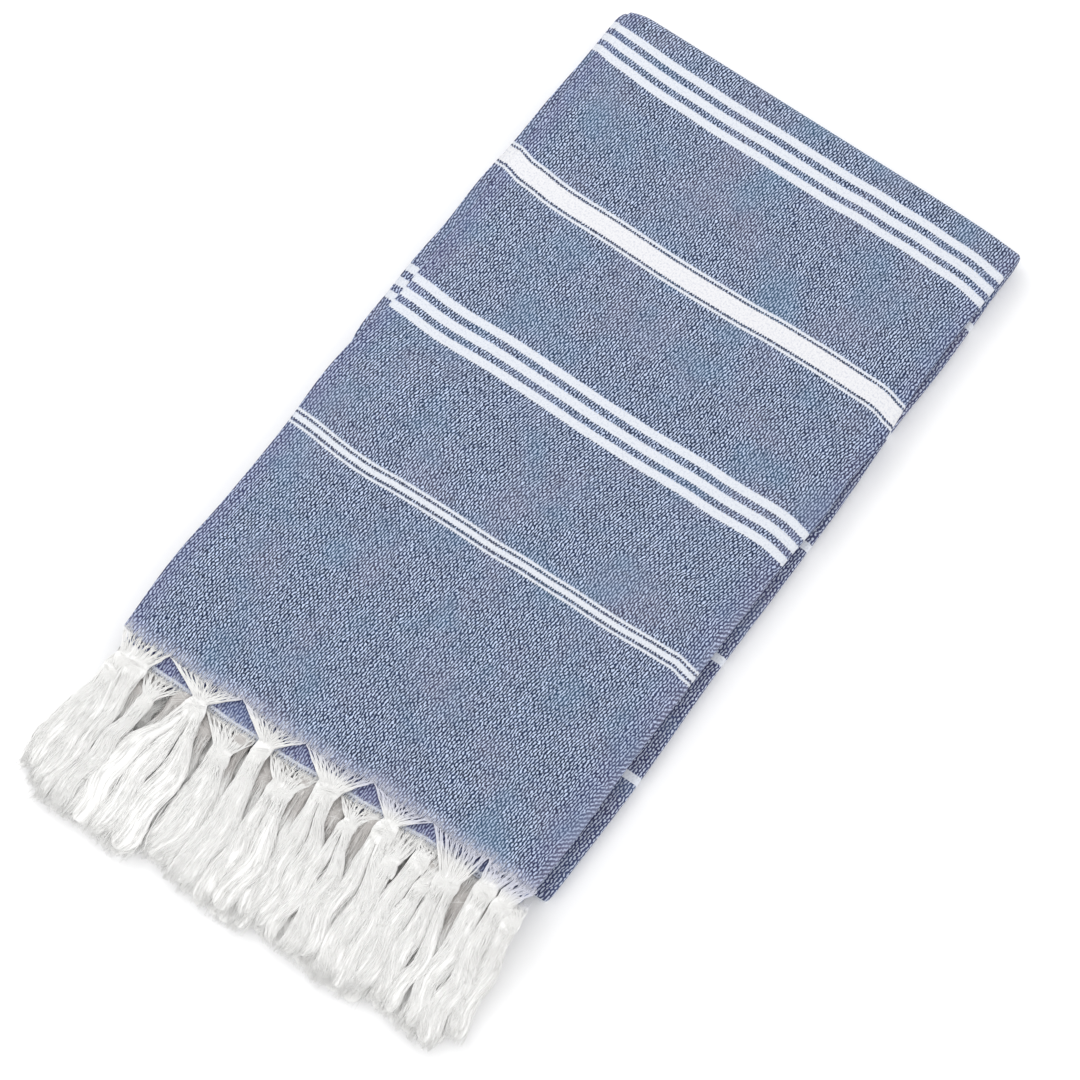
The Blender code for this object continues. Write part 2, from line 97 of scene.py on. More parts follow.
# Each row: pad (4 on top), y, folded edge at the right, free edge of the outer layer, free
# edge of the layer next to it, folded edge at the left, in the order of folding.
edgeRows = (
    (4, 0.0, 112.3, -124.0, -119.0, -118.0),
    (4, 40.0, 114.4, -126.1, -119.3, -118.6),
    (4, 80.0, 114.8, -124.5, -119.5, -119.0),
    (4, 125.0, 115.0, -124.0, -119.5, -119.0),
    (4, 168.0, 115.4, -125.5, -120.5, -119.0),
    (4, 188.0, 116.6, -124.0, -125.8, -119.0),
    (4, 215.0, 119.2, -120.6, -126.4, -119.2),
    (4, 240.0, 121.5, -120.0, -126.5, -119.6),
    (4, 262.0, 121.0, -119.7, -125.4, -120.0),
    (4, 292.0, 123.3, -119.5, -125.8, -120.0),
    (4, 320.0, 121.7, -119.4, -124.3, -120.0),
    (4, 350.0, 121.3, -119.3, -123.9, -120.0),
    (4, 384.0, 122.8, -119.1, -122.6, -120.5),
    (4, turnCentre, 124.2, -119.0, -122.6, -120.5),
    (1, turnCentre, 123.6, -121.0, -119.5, -122.0),
    (1, 290.0, 121.6, -121.4, -119.2, -121.6),
    (1, 150.0, 121.0, -120.8, -119.4, -121.2),
    (1, lowerTurnCentre, 121.0, -121.2, -119.0, -120.6),
    (2, lowerTurnCentre, 122.6, -120.4, -119.6, -121.4),
    (2, 70.0, 124.0, -120.8, -119.0, -121.8),
    (2, 148.0, 123.0, -120.2, -118.8, -121.2),
    (2, 205.0, 123.8, -120.6, -119.2, -121.6),
    (2, 260.0, 124.0, -120.8, -119.1, -121.8),
    (2, 302.0, 122.8, -120.9, -119.0, -122.0),
    (2, 350.0, 124.4, -121.0, -119.0, -122.2),
    (2, turnCentre, 123.4, -120.6, -119.4, -121.8),
    (3, turnCentre, 117.4, -120.2, -118.8, -121.0),
    (3, 240.0, 117.6, -120.6, -119.4, -120.4),
    (3, 120.0, 111.6, -119.8, -118.6, -120.0),
    (3, folds["lowerHem"], 110.2, -119.4, -118.4, -119.6),
)


def ease(value):
    value = np.clip(value, 0.0, 1.0)
    return value * value * (3 - 2 * value)


def mix(low, high, share):
    return low + (high - low) * share


def setIn(amount, distance):
    # An amount that sets in from a distance on: size, start, over how far.
    size, start, over = amount
    return size * ease((distance - start) / over)


def across(table, x):
    # One value of a table of x and value, between its rows.
    return np.interp(x, *np.array(table, float).T)


def curveThrough(places, values, at):
    # A smooth curve through a table's rows.
    places, values = np.asarray(places, float), np.asarray(values, float)
    slopes = np.gradient(values, places)
    i = np.clip(np.searchsorted(places, at) - 1, 0, len(places) - 2)
    span = places[i + 1] - places[i]
    t = np.clip((at - places[i]) / span, 0.0, 1.0)
    a, b = values[i], values[i + 1]
    m, n = slopes[i] * span, slopes[i + 1] * span
    return (
        a * (2 * t**3 - 3 * t**2 + 1)
        + m * (t**3 - 2 * t**2 + t)
        + b * (3 * t**2 - 2 * t**3)
        + n * (t**3 - t**2)
    )


def towardsFoldedEnd(y):
    return ease((y - folds["foldEnd"] + folds["cornersFrom"]) / folds["cornersFrom"])


def cornerDrop(x):
    size, start, over = folds["rightDrop"]
    right = size * np.maximum((x - start) / over, 0.0) ** 2
    size, start, over = folds["leftDrop"]
    return right + size * np.clip((-x - start) / over, 0.0, folds["leftDropMost"]) ** 2


def hemSkew(x, y):
    return folds["hemSkew"] * x * (1 - ease(y / folds["foldEnd"]))


def settle(x, y, z):
    # Moves points of the neatly folded towel to where they lie in the settled one.
    pressed = 1 - setIn(folds["pressedRight"], x) - setIn(folds["pressedLeft"], -x)
    pressed = pressed - setIn(folds["pressedEnd"], y)
    swell, acrossX, start, alongY = folds["swell"]
    pressed = pressed + swell * np.sin(x / acrossX + start) * np.cos(y / alongY)
    return np.stack([x, y + hemSkew(x, y) - cornerDrop(x) * towardsFoldedEnd(y), z * pressed], -1)


def newObject(name, points, faces, material):
    # faces: arrays of quads or triangles
    mesh = bpy.data.meshes.new(name)
    corners = np.concatenate([f.ravel() for f in faces]).astype(np.int32)
    sizes = np.concatenate([np.full(len(f), f.shape[1]) for f in faces]).astype(np.int32)
    starts = np.concatenate([[0], np.cumsum(sizes)[:-1]]).astype(np.int32)
    mesh.vertices.add(len(points))
    mesh.vertices.foreach_set("co", np.asarray(points, np.float32).ravel())
    mesh.loops.add(len(corners))
    mesh.loops.foreach_set("vertex_index", corners)
    mesh.polygons.add(len(sizes))
    mesh.polygons.foreach_set("loop_start", starts)
    mesh.polygons.foreach_set("loop_total", sizes)
    mesh.polygons.foreach_set("use_smooth", np.ones(len(sizes), bool))
    mesh.update(calc_edges=True)
    mesh.validate()
    mesh.materials.append(material)
    made = bpy.data.objects.new(name, mesh)
    bpy.context.scene.collection.objects.link(made)
    return made


# Small helpers, so that the materials' node graphs stay readable.
def graph(name):
    material = bpy.data.materials.new(name)
    material.use_nodes = True
    return material, material.node_tree, material.node_tree.nodes["Principled BSDF"]


def wire(tree, value, socket):
    if isinstance(value, (int, float)):
        socket.default_value = value
    elif isinstance(value, tuple):
        socket.default_value = (*value, 1.0)[: len(socket.default_value)]
    else:
        tree.links.new(value, socket)


def calc(tree, operation, a, b=0.0):
    node = tree.nodes.new("ShaderNodeMath")
    node.operation = operation
    for value, socket in zip((a, b), node.inputs):
        wire(tree, value, socket)
    return node.outputs[0]


def blendColours(tree, share, a, b):
    node = tree.nodes.new("ShaderNodeMix")
    node.data_type = "RGBA"
    for i, value in ((0, share), (6, a), (7, b)):
        wire(tree, value, node.inputs[i])
    return node.outputs[2]


def blendValues(tree, share, a, b):
    node = tree.nodes.new("ShaderNodeMix")
    for i, value in ((0, share), (2, a), (3, b)):
        wire(tree, value, node.inputs[i])
    return node.outputs[0]


def tint(tree, base, mask, strength, colour):
    return blendColours(tree, calc(tree, "MULTIPLY", mask, strength), base, colour)


def dimmed(colour, *shares):
    # A colour times one share, or times a share for each channel.
    return tuple(c * share for c, share in zip(colour, shares * (3 // len(shares))))


def step(tree, value, low, high):
    # 0 below low, 1 above high, smooth between; falls if low is above high
    node = tree.nodes.new("ShaderNodeMapRange")
    node.interpolation_type = "SMOOTHSTEP"
    wire(tree, value, node.inputs["Value"])
    node.inputs["From Min"].default_value = min(low, high)
    node.inputs["From Max"].default_value = max(low, high)
    node.inputs["To Min"].default_value = 0.0 if low < high else 1.0
    node.inputs["To Max"].default_value = 1.0 if low < high else 0.0
    return node.outputs[0]


def noise(tree, vector, scale, detail=2.0, rough=0.5):
    node = tree.nodes.new("ShaderNodeTexNoise")
    node.inputs["Scale"].default_value = scale
    node.inputs["Detail"].default_value = detail
    node.inputs["Roughness"].default_value = rough
    tree.links.new(vector, node.inputs["Vector"])
    return node.outputs["Fac"]


def vector(tree, x, y, z=0.0):
    node = tree.nodes.new("ShaderNodeCombineXYZ")
    for value, socket in zip((x, y, z), node.inputs):
        wire(tree, value, socket)
    return node.outputs[0]


def separate(tree, value):
    node = tree.nodes.new("ShaderNodeSeparateXYZ")
    tree.links.new(value, node.inputs[0])
    return node.outputs


def setSurface(tree, shader, height, look):
    # The bump and the surface: look holds strength, depth, roughness, shine, sheen.
    strength, depth, roughness, shine, sheen = look
    bump = tree.nodes.new("ShaderNodeBump")
    bump.inputs["Strength"].default_value = strength
    bump.inputs["Distance"].default_value = depth * mm
    tree.links.new(height, bump.inputs["Height"])
    tree.links.new(bump.outputs[0], shader.inputs["Normal"])
    shader.inputs["Roughness"].default_value = roughness
    shader.inputs["Specular IOR Level"].default_value = shine
    shader.inputs["Sheen Weight"].default_value = sheen
    shader.inputs["Sheen Roughness"].default_value = 0.5


# Camera, light and floor.
view = {
    "lens": 100.8,  # millimetres on a 36 mm sensor
    "azimuth": -54.35,  # degrees, of the camera seen from the towel
    "elevation": 70.0,
    "distance": 1.498,
    "target": (13.0, 152.0, 10.0),  # millimetres, as above
}
studio = {
    "world": 1.11,
    "keyPower": 3.8,
    "keySize": 0.9,
    "keyFrom": (-0.95, 0.30, 1.05),  # metres from the towel's middle
    "floor": (0.985, 0.985, 0.99),
    "floorHalf": 3.0,  # metres
}


def makeCamera(shift):
    azimuth, elevation = math.radians(view["azimuth"]), math.radians(view["elevation"])
    flatAway = math.cos(elevation)
    away = (flatAway * math.cos(azimuth), flatAway * math.sin(azimuth), math.sin(elevation))
    away = Vector(away)  # from the towel to the camera
    data = bpy.data.cameras.new("camera")
    data.lens = view["lens"]
    data.sensor_width = 36.0
    data.clip_start = 0.05
    camera = bpy.data.objects.new("camera", data)
    camera.location = Vector(view["target"]) * mm + shift + away * view["distance"]
    camera.rotation_euler = away.to_track_quat("Z", "Y").to_euler()
    bpy.context.scene.collection.objects.link(camera)
    bpy.context.scene.camera = camera


def makeLight():
    world = bpy.data.worlds.new("studio")
    world.use_nodes = True
    background = world.node_tree.nodes["Background"]
    background.inputs["Color"].default_value = (1.0, 1.0, 1.0, 1.0)
    background.inputs["Strength"].default_value = studio["world"]
    bpy.context.scene.world = world
    data = bpy.data.lights.new("key", "AREA")
    data.energy = studio["keyPower"]
    data.size = studio["keySize"]
    key = bpy.data.objects.new("key", data)
    key.location = studio["keyFrom"]
    key.rotation_euler = Vector(studio["keyFrom"]).to_track_quat("Z", "Y").to_euler()
    bpy.context.scene.collection.objects.link(key)
    bpy.context.scene.view_settings.view_transform = "Standard"


def makeFloor():
    material, tree, shader = graph("paleFloor")
    shader.inputs["Base Color"].default_value = (*studio["floor"], 1.0)
    shader.inputs["Roughness"].default_value = 0.9
    shader.inputs["Specular IOR Level"].default_value = 0.1
    half = studio["floorHalf"]
    corners = [(-half, -half, 0), (half, -half, 0), (half, half, 0), (-half, half, 0)]
    floor = newObject("floor", corners, [np.array([[0, 1, 2, 3]])], material)
    return floor


# The weave, all in millimetres of flat cloth: white warp, blue weft, white weft in the stripes.
weave = {
    "rising": (0.375, 0.333),  # rows of dashes to the millimetre, across and along
    "falling": (0.358, -0.385),
    "wander": 6.4,  # how far the rows stray, in radians
    "rows": (0.27, 0.13, 0.58),  # weights of the rising and falling rows, and of their crossings
    "spots": 2.4,
    "patches": 0.9,
    "hatched": (0.52, 0.2, 1.7),  # round the fold: falling rows, crossings, spots
    "hatchedFrom": 239.0,  # where the hatch starts, across the cloth
    "foldEnds": (262.0, 254.0),  # where the right fold has gone under, and starts to
    "topEnds": (folds["topEnds"], 424.0),  # the same for the top pad, along the cloth
    "contrast": 1.10,
    "unevenContrast": 1.9,
    "paleFrom": (-0.27, 0.66),  # heights of the pattern that are all blue, and all pale
    "edgeTeeth": (1.3, 0.24),  # how ragged the stripes' edges are, by spots and by rows
    "pale": (0.59, 0.685, 0.885),
    "paleStreaks": 0.82,
    "navy": (0.011, 0.020, 0.050),
    "navyStreaks": 1.8,
    "whiteWeft": (0.70, 0.728, 0.78),
    "bandWeft": (0.765, 0.765, 0.785),  # the wide band's closer, brighter yarn
    "wornWhite": (0.40, 0.43, 0.53),
    "dot": (0.03, 0.033, 0.065),
    # the selvedges' own violet, and the colour of the painted shade on the lower layers
    "violet": (0.13, 0.115, 0.28),
    "lilac": (0.42, 0.42, 0.57),
    "foldLilac": (0.40, 0.40, 0.54),
    "pinkish": (0.25, 0.22, 0.31),
    "bluish": (0.11, 0.225, 0.35),
    "underFrom": 705.0,  # where across the cloth the second layer starts
    "rimFrom": (226.0, 230.0),  # where the lower pads' folds come into view
    # where the right rim darkens with painted shade
    "rimShade": (226.0, 238.0),
    "foldPales": (239.0, 246.0),
    "surface": (0.5, 0.22, 0.92, 0.15, 0.08),  # bump, its depth, roughness, shine, sheen
}
# How strongly each tint shows.
tints = {
    "pinkish": 0.20,
    "bluish": 0.30,
    "violet": 0.22,
    "foldLilac": 0.26,
    "strip": 0.30,
    "underHemShade": 0.24,
    "hem": 0.30,
    "hemStreaks": 0.4,
    "underEnd": 0.62,
    "dots": 0.76,
    "wornRows": 0.10,
    "wornSpots": 0.34,
}
# Each stripe, in millimetres from the nearer end of the cloth: its middle, and the middle and
# width of each of its white bands and rows of dots, from there.
stripes = {
    "thin": {"at": 132.3, "white": ((-3.8, 1.4), (0.0, 3.0), (3.6, 1.5)), "dots": (-2.2, 2.15)},
    "triple": {"at": (217.9, 394.2), "white": ((-8.95, 4.7), (-0.2, 5.0), (8.85, 4.7))},
    "wide": {"at": 306.9, "white": ((-7.1, 1.6), (7.0, 1.6)), "dots": (-5.75, 5.6), "solid": 10.0},
    "plain": {"every": 74.6, "width": 4.5, "within": 376.0},  # in the middle of the cloth
    "dotRow": 1.35,
    "dotPitch": 1.64,
}


def weaveMaterial(length):
    material, tree, shader = graph("blueWeave")
    flat = tree.nodes.new("ShaderNodeUVMap")
    flat.uv_map = "flatCloth"

    def times(a, b):
        return calc(tree, "MULTIPLY", a, b)

    def plus(a, b):
        return calc(tree, "ADD", a, b)

    def less(a, b):
        return calc(tree, "SUBTRACT", a, b)

    place = separate(tree, flat.outputs[0])
    u = times(place[0], 1 / mm)
    v = times(place[1], 1 / mm)
    fromEnd = calc(tree, "MINIMUM", v, less(length, v))

    def grain(scaleU, scaleV, layer, detail=1.0):
        # uneven patches, about 1 / scale millimetres across; each layer has its own
        return noise(tree, vector(tree, times(u, scaleU), times(v, scaleV), layer), 1.0, detail)

    def centred(value, size):
        return times(less(value, 0.5), size)

    def phase(rate, wander):
        return plus(plus(times(u, 2 * math.pi * rate[0]), times(v, 2 * math.pi * rate[1])), wander)

    # where the pale warp lies over the weft: dashes along the warp, never quite regular
    wanderRising = centred(grain(0.23, 0.19, 0.0), weave["wander"])
    wanderFalling = centred(grain(0.21, 0.22, 5.0), weave["wander"])
    onTop = step(tree, v, *weave["topEnds"])
    ragged = plus(u, centred(grain(0.25, 0.25, 61.0), 9.0))
    turned = step(tree, ragged, weave["hatchedFrom"] + 2.5, weave["hatchedFrom"] + 3.5)
    turned = times(times(turned, onTop), step(tree, u, *weave["foldEnds"]))
    notTop = less(1.0, onTop)
    rim = times(step(tree, u, *weave["rimFrom"]), step(tree, u, *weave["foldEnds"]))
    strip = times(notTop, rim)  # the lower pads' folds, that show along the right side
    rising = phase(weave["rising"], wanderRising)
    falling = phase(weave["falling"], wanderFalling)
    lines = calc(tree, "COSINE", plus(rising, falling))
    hatch = calc(tree, "COSINE", falling)
    spot = grain(1.3, 0.95, 9.0)
    byRising, byFalling, byLines = weave["rows"]
    rows = plus(times(calc(tree, "COSINE", rising), byRising), times(hatch, byFalling))
    rows = plus(rows, times(lines, byLines))
    uneven = plus(centred(spot, weave["spots"]), centred(grain(0.5, 0.4, 17.0), weave["patches"]))
    over = plus(rows, uneven)
    byFalling, byLines, bySpots = weave["hatched"]
    hatched = times(hatch, byFalling)
    hatched = plus(hatched, plus(times(lines, byLines), centred(spot, bySpots)))
    over = blendValues(tree, times(turned, 0.9), over, hatched)
    contrast = times(centred(grain(0.17, 0.12, 13.0), 1.0), weave["unevenContrast"])
    over = times(over, plus(plus(weave["contrast"], contrast), times(strip, 0.7)))
    over = less(over, times(strip, 0.25))
    share = step(tree, over, *weave["paleFrom"])

    # bands across the cloth, their edges as uneven as the yarns
    bySpots, byLines = weave["edgeTeeth"]
    edge = plus(fromEnd, plus(centred(spot, bySpots), times(lines, byLines)))

    def band(centre, width, soft=0.5):
        offset = calc(tree, "ABSOLUTE", less(edge, centre))
        return step(tree, offset, (width + soft) / 2, (width - soft) / 2)

    def most(values):
        total = values[0]
        for value in values[1:]:
            total = calc(tree, "MAXIMUM", total, value)
        return total

    thin, wide, triple, plain = (stripes[name] for name in ("thin", "wide", "triple", "plain"))
    fromMiddle = calc(tree, "ABSOLUTE", less(v, length / 2))
    turn = calc(tree, "FRACT", times(fromMiddle, 1 / plain["every"]))
    near = times(calc(tree, "MINIMUM", turn, less(1.0, turn)), plain["every"])
    plainStripe = step(tree, near, plain["width"] / 2 + 0.2, plain["width"] / 2 - 0.2)
    plainStripe = times(plainStripe, step(tree, fromMiddle, plain["within"] + 1, plain["within"]))
    whites = [band(thin["at"] + at, width, 0.9) for at, width in thin["white"]]
    whites += [band(wide["at"] + at, width) for at, width in wide["white"]]
    whites += [band(middle + at, width) for middle in triple["at"] for at, width in triple["white"]]
    solid = band(wide["at"], wide["solid"])
    whiteWeft = most([*whites, solid, plainStripe])
    dotLines = [stripe["at"] + at for stripe in (thin, wide) for at in stripe["dots"]]
    dotRows = most([band(at, stripes["dotRow"], 0.3) for at in dotLines])
    dotPlace = plus(u, centred(grain(0.3, 0.3, 21.0), 1.2))
    dots = step(tree, calc(tree, "PINGPONG", dotPlace, stripes["dotPitch"] / 2), 0.22, 0.42)

    # the second layer's end, which shows between the tassels: a pale line and a row of dots
    under = step(tree, u, weave["underFrom"] - 3, weave["underFrom"])
    endLine = times(under, times(band(2.6, 1.0), plus(0.45, times(spot, 0.7))))
    endDots = times(times(under, band(1.1, 1.0)), dots)
    underEnd = times(under, step(tree, edge, 2.4, 1.8))

    # the two yarns, each in its own tone, and broad patches over them
    streaks = step(tree, grain(0.62, 0.03, 31.0), 0.3, 0.7)
    streaked = dimmed(weave["pale"], weave["paleStreaks"])
    pale = blendColours(tree, streaks, weave["pale"], streaked)
    streaks = step(tree, grain(0.04, 0.6, 37.0), 0.3, 0.7)
    streaked = dimmed(weave["navy"], weave["navyStreaks"])
    navy = blendColours(tree, streaks, weave["navy"], streaked)
    ground = blendColours(tree, share, navy, pale)
    patches = step(tree, grain(0.028, 0.024, 41.0, 3.0), 0.45, 0.72)
    ground = tint(tree, ground, patches, tints["pinkish"], weave["pinkish"])
    patches = step(tree, grain(0.03, 0.027, 47.0, 2.0), 0.46, 0.74)
    ground = tint(tree, ground, patches, tints["bluish"], weave["bluish"])

    # violet selvedges; painted shade in violet on the lower layers, the right rim and the second layer;
    # and the lilac hem with the first white yarns
    lower = times(step(tree, v, *weave["topEnds"][::-1]), step(tree, less(length, v), 0.0, 1.0))
    selvedge = step(tree, u, 14.0, 2.0)
    rightRimShade = times(step(tree, u, *weave["rimShade"]), 0.7)
    edges = most([selvedge, rightRimShade, lower, times(under, 0.6)])
    ground = tint(tree, ground, edges, tints["violet"], weave["violet"])
    nearFold = times(step(tree, u, *weave["foldPales"]), step(tree, u, *weave["foldEnds"]))
    ground = tint(tree, ground, times(onTop, nearFold), tints["foldLilac"], weave["foldLilac"])
    ground = tint(tree, ground, times(strip, share), tints["strip"], weave["whiteWeft"])
    # painted shade, darker still, on the second layer near its hem
    underHemShade = times(under, step(tree, fromEnd, 22.0, 14.0))
    ground = tint(tree, ground, underHemShade, tints["underHemShade"], weave["violet"])
    hem = times(step(tree, fromEnd, 9.0, 1.0), less(1.0, under))
    ground = tint(tree, ground, hem, tints["hem"], weave["lilac"])
    streaks = times(step(tree, grain(1.2, 0.08, 53.0), 0.47, 0.6), step(tree, fromEnd, 7.0, 1.0))
    ground = tint(tree, ground, streaks, tints["hemStreaks"], weave["whiteWeft"])
    ground = tint(tree, ground, underEnd, tints["underEnd"], weave["whiteWeft"])

    # the white stripes, a little worn, and the dots
    whiteYarn = blendColours(tree, solid, weave["whiteWeft"], weave["bandWeft"])
    wornRows = times(step(tree, over, 0.5, -0.9), tints["wornRows"])
    wornSpots = times(step(tree, grain(1.0, 0.9, 67.0), 0.55, 0.30), tints["wornSpots"])
    whiteYarn = blendColours(tree, plus(wornRows, wornSpots), whiteYarn, weave["wornWhite"])
    striped = blendColours(tree, most([whiteWeft, endLine]), ground, whiteYarn)
    dotted = most([times(dotRows, dots), endDots])
    striped = tint(tree, striped, dotted, tints["dots"], weave["dot"])
    wire(tree, striped, shader.inputs["Base Color"])
    relief = blendValues(tree, whiteWeft, plus(share, times(spot, 0.4)), plus(0.9, times(spot, 0.5)))
    setSurface(tree, shader, relief, weave["surface"])
    return material


# How finely the cloth is meshed: steps across each flat layer, and millimetres along it.
clothMesh = {
    "outerSteps": 92,
    "nextSteps": 26,
    "innerSteps": 14,
    "foldSteps": 9,
    "topSpacing": 3.3,
    "otherSpacing": 13.0,
    "turnSteps": 14,
}
bowFades = {"until": 130, "over": 25}  # columns of the section over which the stripes' bow fades
# How far the hem is pulled out between the notches, and how far up from it that fades.
hemShape = {"bulge": 2.0, "nextBulge": 0.9, "over": 13.0}


def bend(radius, start, stop, share):
    # A place on a turn: its offsets from the turn's middle, and the way the cloth runs there.
    way = 1 if stop > start else -1
    angle = math.radians(mix(start, stop, share))
    cosine, sine = math.cos(angle), math.sin(angle)
    return radius * cosine, radius * sine, -way * sine, way * cosine


def sectionColumns():
    # Each column of the section: weights of the four edges, offset, height, direction,
    # and how far the column lies on the layer under the outer one.
    layerHeight = [layer * pitch + folds["layer"] / 2 for layer in range(4)]
    columns = []

    def flat(start, stop, height, steps, first, second):
        way = 1.0 if (start, stop) in ((2, 0), (1, 0)) else -1.0
        for share in np.linspace(0, 1, steps + 1)[:-1]:
            weights = mix(np.eye(4)[start], np.eye(4)[stop], share)
            columns.append((*weights, 0.0, height, way, 0.0, mix(first, second, share)))

    def turn(edge, height, radius, start, stop, first, second):
        for share in np.linspace(0, 1, clothMesh["foldSteps"] + 1)[:-1]:
            offset, lift, wayX, wayH = bend(radius, start, stop, share)
            under = mix(first, second, share)
            columns.append((*np.eye(4)[edge], offset, height + lift, wayX, wayH, under))

    # edges: 0 the fold at the right, 1 the fold at the left, 2 outer selvedge, 3 inner
    flat(2, 0, layerHeight[3], clothMesh["outerSteps"], 0, 0)
    turn(0, rightFold, 1.5 * pitch, 90, -90, 0, 0)
    flat(0, 1, layerHeight[0], clothMesh["innerSteps"], 0, 0)
    turn(1, leftFold, pitch / 2, 270, 90, 0, 0)
    flat(1, 0, layerHeight[1], clothMesh["innerSteps"], 0, 0.3)
    turn(0, rightFold, pitch / 2, -90, 90, 0.3, 1)
    flat(0, 3, layerHeight[2], clothMesh["nextSteps"], 1, 1)
    columns.append((0, 0, 0, 1, 0.0, layerHeight[2], -1.0, 0.0, 1.0))
    return np.array(columns)


def clothStations():
    # Each station along the folded strip: y, z, outward y, outward z, four edges.
    rows = []
    pads = [4, 1, 2, 3]
    for order, number in enumerate(pads):
        table = np.array([row[1:] for row in edgeRows if row[0] == number])
        backwards = table[0, 0] > table[-1, 0]
        ordered = table[::-1] if backwards else table
        low, high = ordered[0, 0], ordered[-1, 0]
        spacing = clothMesh["topSpacing" if number == 4 else "otherSpacing"]
        ys = np.linspace(low, high, round((high - low) / spacing) + 1)
        sides = [curveThrough(ordered[:, 0], ordered[:, i], ys) for i in (1, 2, 3, 4)]
        block = np.stack([ys, *sides], -1)
        block = block[::-1] if backwards else block
        way = 1.0 if number in (4, 2) else -1.0
        middle = (number - 1) * padPitch + pad / 2
        if rows:
            rows += turnRows(pads[order - 1], number, rows[-1], block[0])
        rows += [(y, middle, 0.0, way, r, l, o, i) for y, r, o, i, l in block]
    return np.array(rows)


def turnRows(before, after, last, first):
    radius = padPitch / 2
    if {before, after} == {1, 2}:
        centre, height, sweep = lowerTurnCentre, pad + folds["air"] / 2, (270, 90)
    elif {before, after} == {2, 3}:
        centre, height, sweep = turnCentre, stack / 2, (-90, 90)
    else:
        centre, height, sweep, radius = turnCentre, stack / 2, (90, -90), 1.5 * padPitch
    steps = clothMesh["turnSteps"]
    _, right, outer, inner, left = first
    made = []
    for share in np.arange(1, steps) / steps:
        offset, lift, forwardY, forwardZ = bend(radius, *sweep, share)
        sides = [mix(a, b, share) for a, b in zip(last[4:], (right, left, outer, inner))]
        made.append((centre + offset, height + lift, -forwardZ, forwardY, *sides))
    return made


def foldedStrip():
    # The section, the stations along the strip, and each station's four edges.
    columns, stations = sectionColumns(), clothStations()
    edges = stations[:, 4:8].copy()
    edges[:, 0] -= rightFold
    edges[:, 1] += leftFold
    return columns, stations, edges


def placesAcross(columns, edges):
    return edges @ columns[:, :4].T + columns[None, :, 4]


def clothFace(columns, stations, x, half, out=0.0):
    # One face of the cloth, half its thickness from the middle, drawn out past the hem.
    y, z, outY, outZ = (stations[:, i, None] for i in range(4))
    height, wayX, wayH = (columns[None, :, i] for i in (5, 6, 7))
    lift = height + wayX * half - pad / 2
    return settle(x - wayH * half, y + outY * lift - out, z + outZ * lift)


def swollen(share):
    # 0 at both ends of a tassel's width of hem, 1 between them
    return np.sin(np.pi * np.clip(share, 0, 1)) ** 0.8


def scallopWave(x, ends):
    ends = np.asarray(ends)
    i = np.clip(np.searchsorted(ends, x) - 1, 0, len(ends) - 2)
    return swollen((x - ends[i]) / (ends[i + 1] - ends[i]))


# Where the stripes of the top layer run: x, and how far each lies from the upper hem.
stripeLines = np.array((
    (-124, 132.2, 218.8, 313.0, 399.0),
    (-116, 131.9, 218.3, 311.3, 397.7),
    (-110, 131.5, 218.1, 309.3, 396.7),
    (-100, 130.5, 217.2, 308.4, 396.0),
    (-90, 129.8, 216.9, 307.2, 395.1),
    (-75, 129.6, 217.6, 306.7, 394.3),
    (-60, 130.8, 218.3, 307.0, 394.2),
    (-45, 131.5, 218.4, 307.0, 393.7),
    (-30, 132.0, 218.3, 306.7, 393.9),
    (-15, 132.2, 218.1, 306.6, 394.3),
    (0, 132.3, 217.9, 306.9, 394.2),
    (15, 133.3, 218.1, 307.4, 394.2),
    (30, 133.5, 218.3, 307.9, 394.2),
    (45, 134.0, 219.1, 309.0, 395.1),
    (60, 134.0, 219.7, 309.4, 394.8),
    (75, 134.4, 219.5, 309.7, 395.2),
    (90, 135.4, 220.2, 309.5, 394.5),
    (100, 135.8, 220.8, 309.4, 394.5),
    (106, 136.1, 220.7, 309.5, 394.3),
    (112, 135.0, 220.2, 309.0, 393.8),
    (118, 134.4, 219.0, 307.3, 392.8),
    (124, 134.0, 218.4, 306.4, 392.0),
))


def stripeBow(x, v):
    # How much further from the hem each place's stripes lie than on the flat cloth.
    triple = stripes["triple"]["at"]
    middles = (stripes["thin"]["at"], triple[0], stripes["wide"]["at"], triple[1])
    knots = [(np.zeros_like(x), np.zeros_like(x))]
    for i, middle in enumerate(middles):
        line = curveThrough(stripeLines[:, 0], stripeLines[:, i + 1], x)
        bow = line - hemSkew(x, line) + cornerDrop(x) * towardsFoldedEnd(middle) - middle
        knots.append((middle + bow, bow))
    knots.append((np.full_like(x, folds["topEnds"]), np.zeros_like(x)))
    total = np.zeros_like(x)
    for (low, bowLow), (high, bowHigh) in zip(knots, knots[1:]):
        share = np.clip((v - low) / (high - low), 0, 1)
        total = np.where((v >= low) & (v < folds["topEnds"]), mix(bowLow, bowHigh, share), total)
    return total


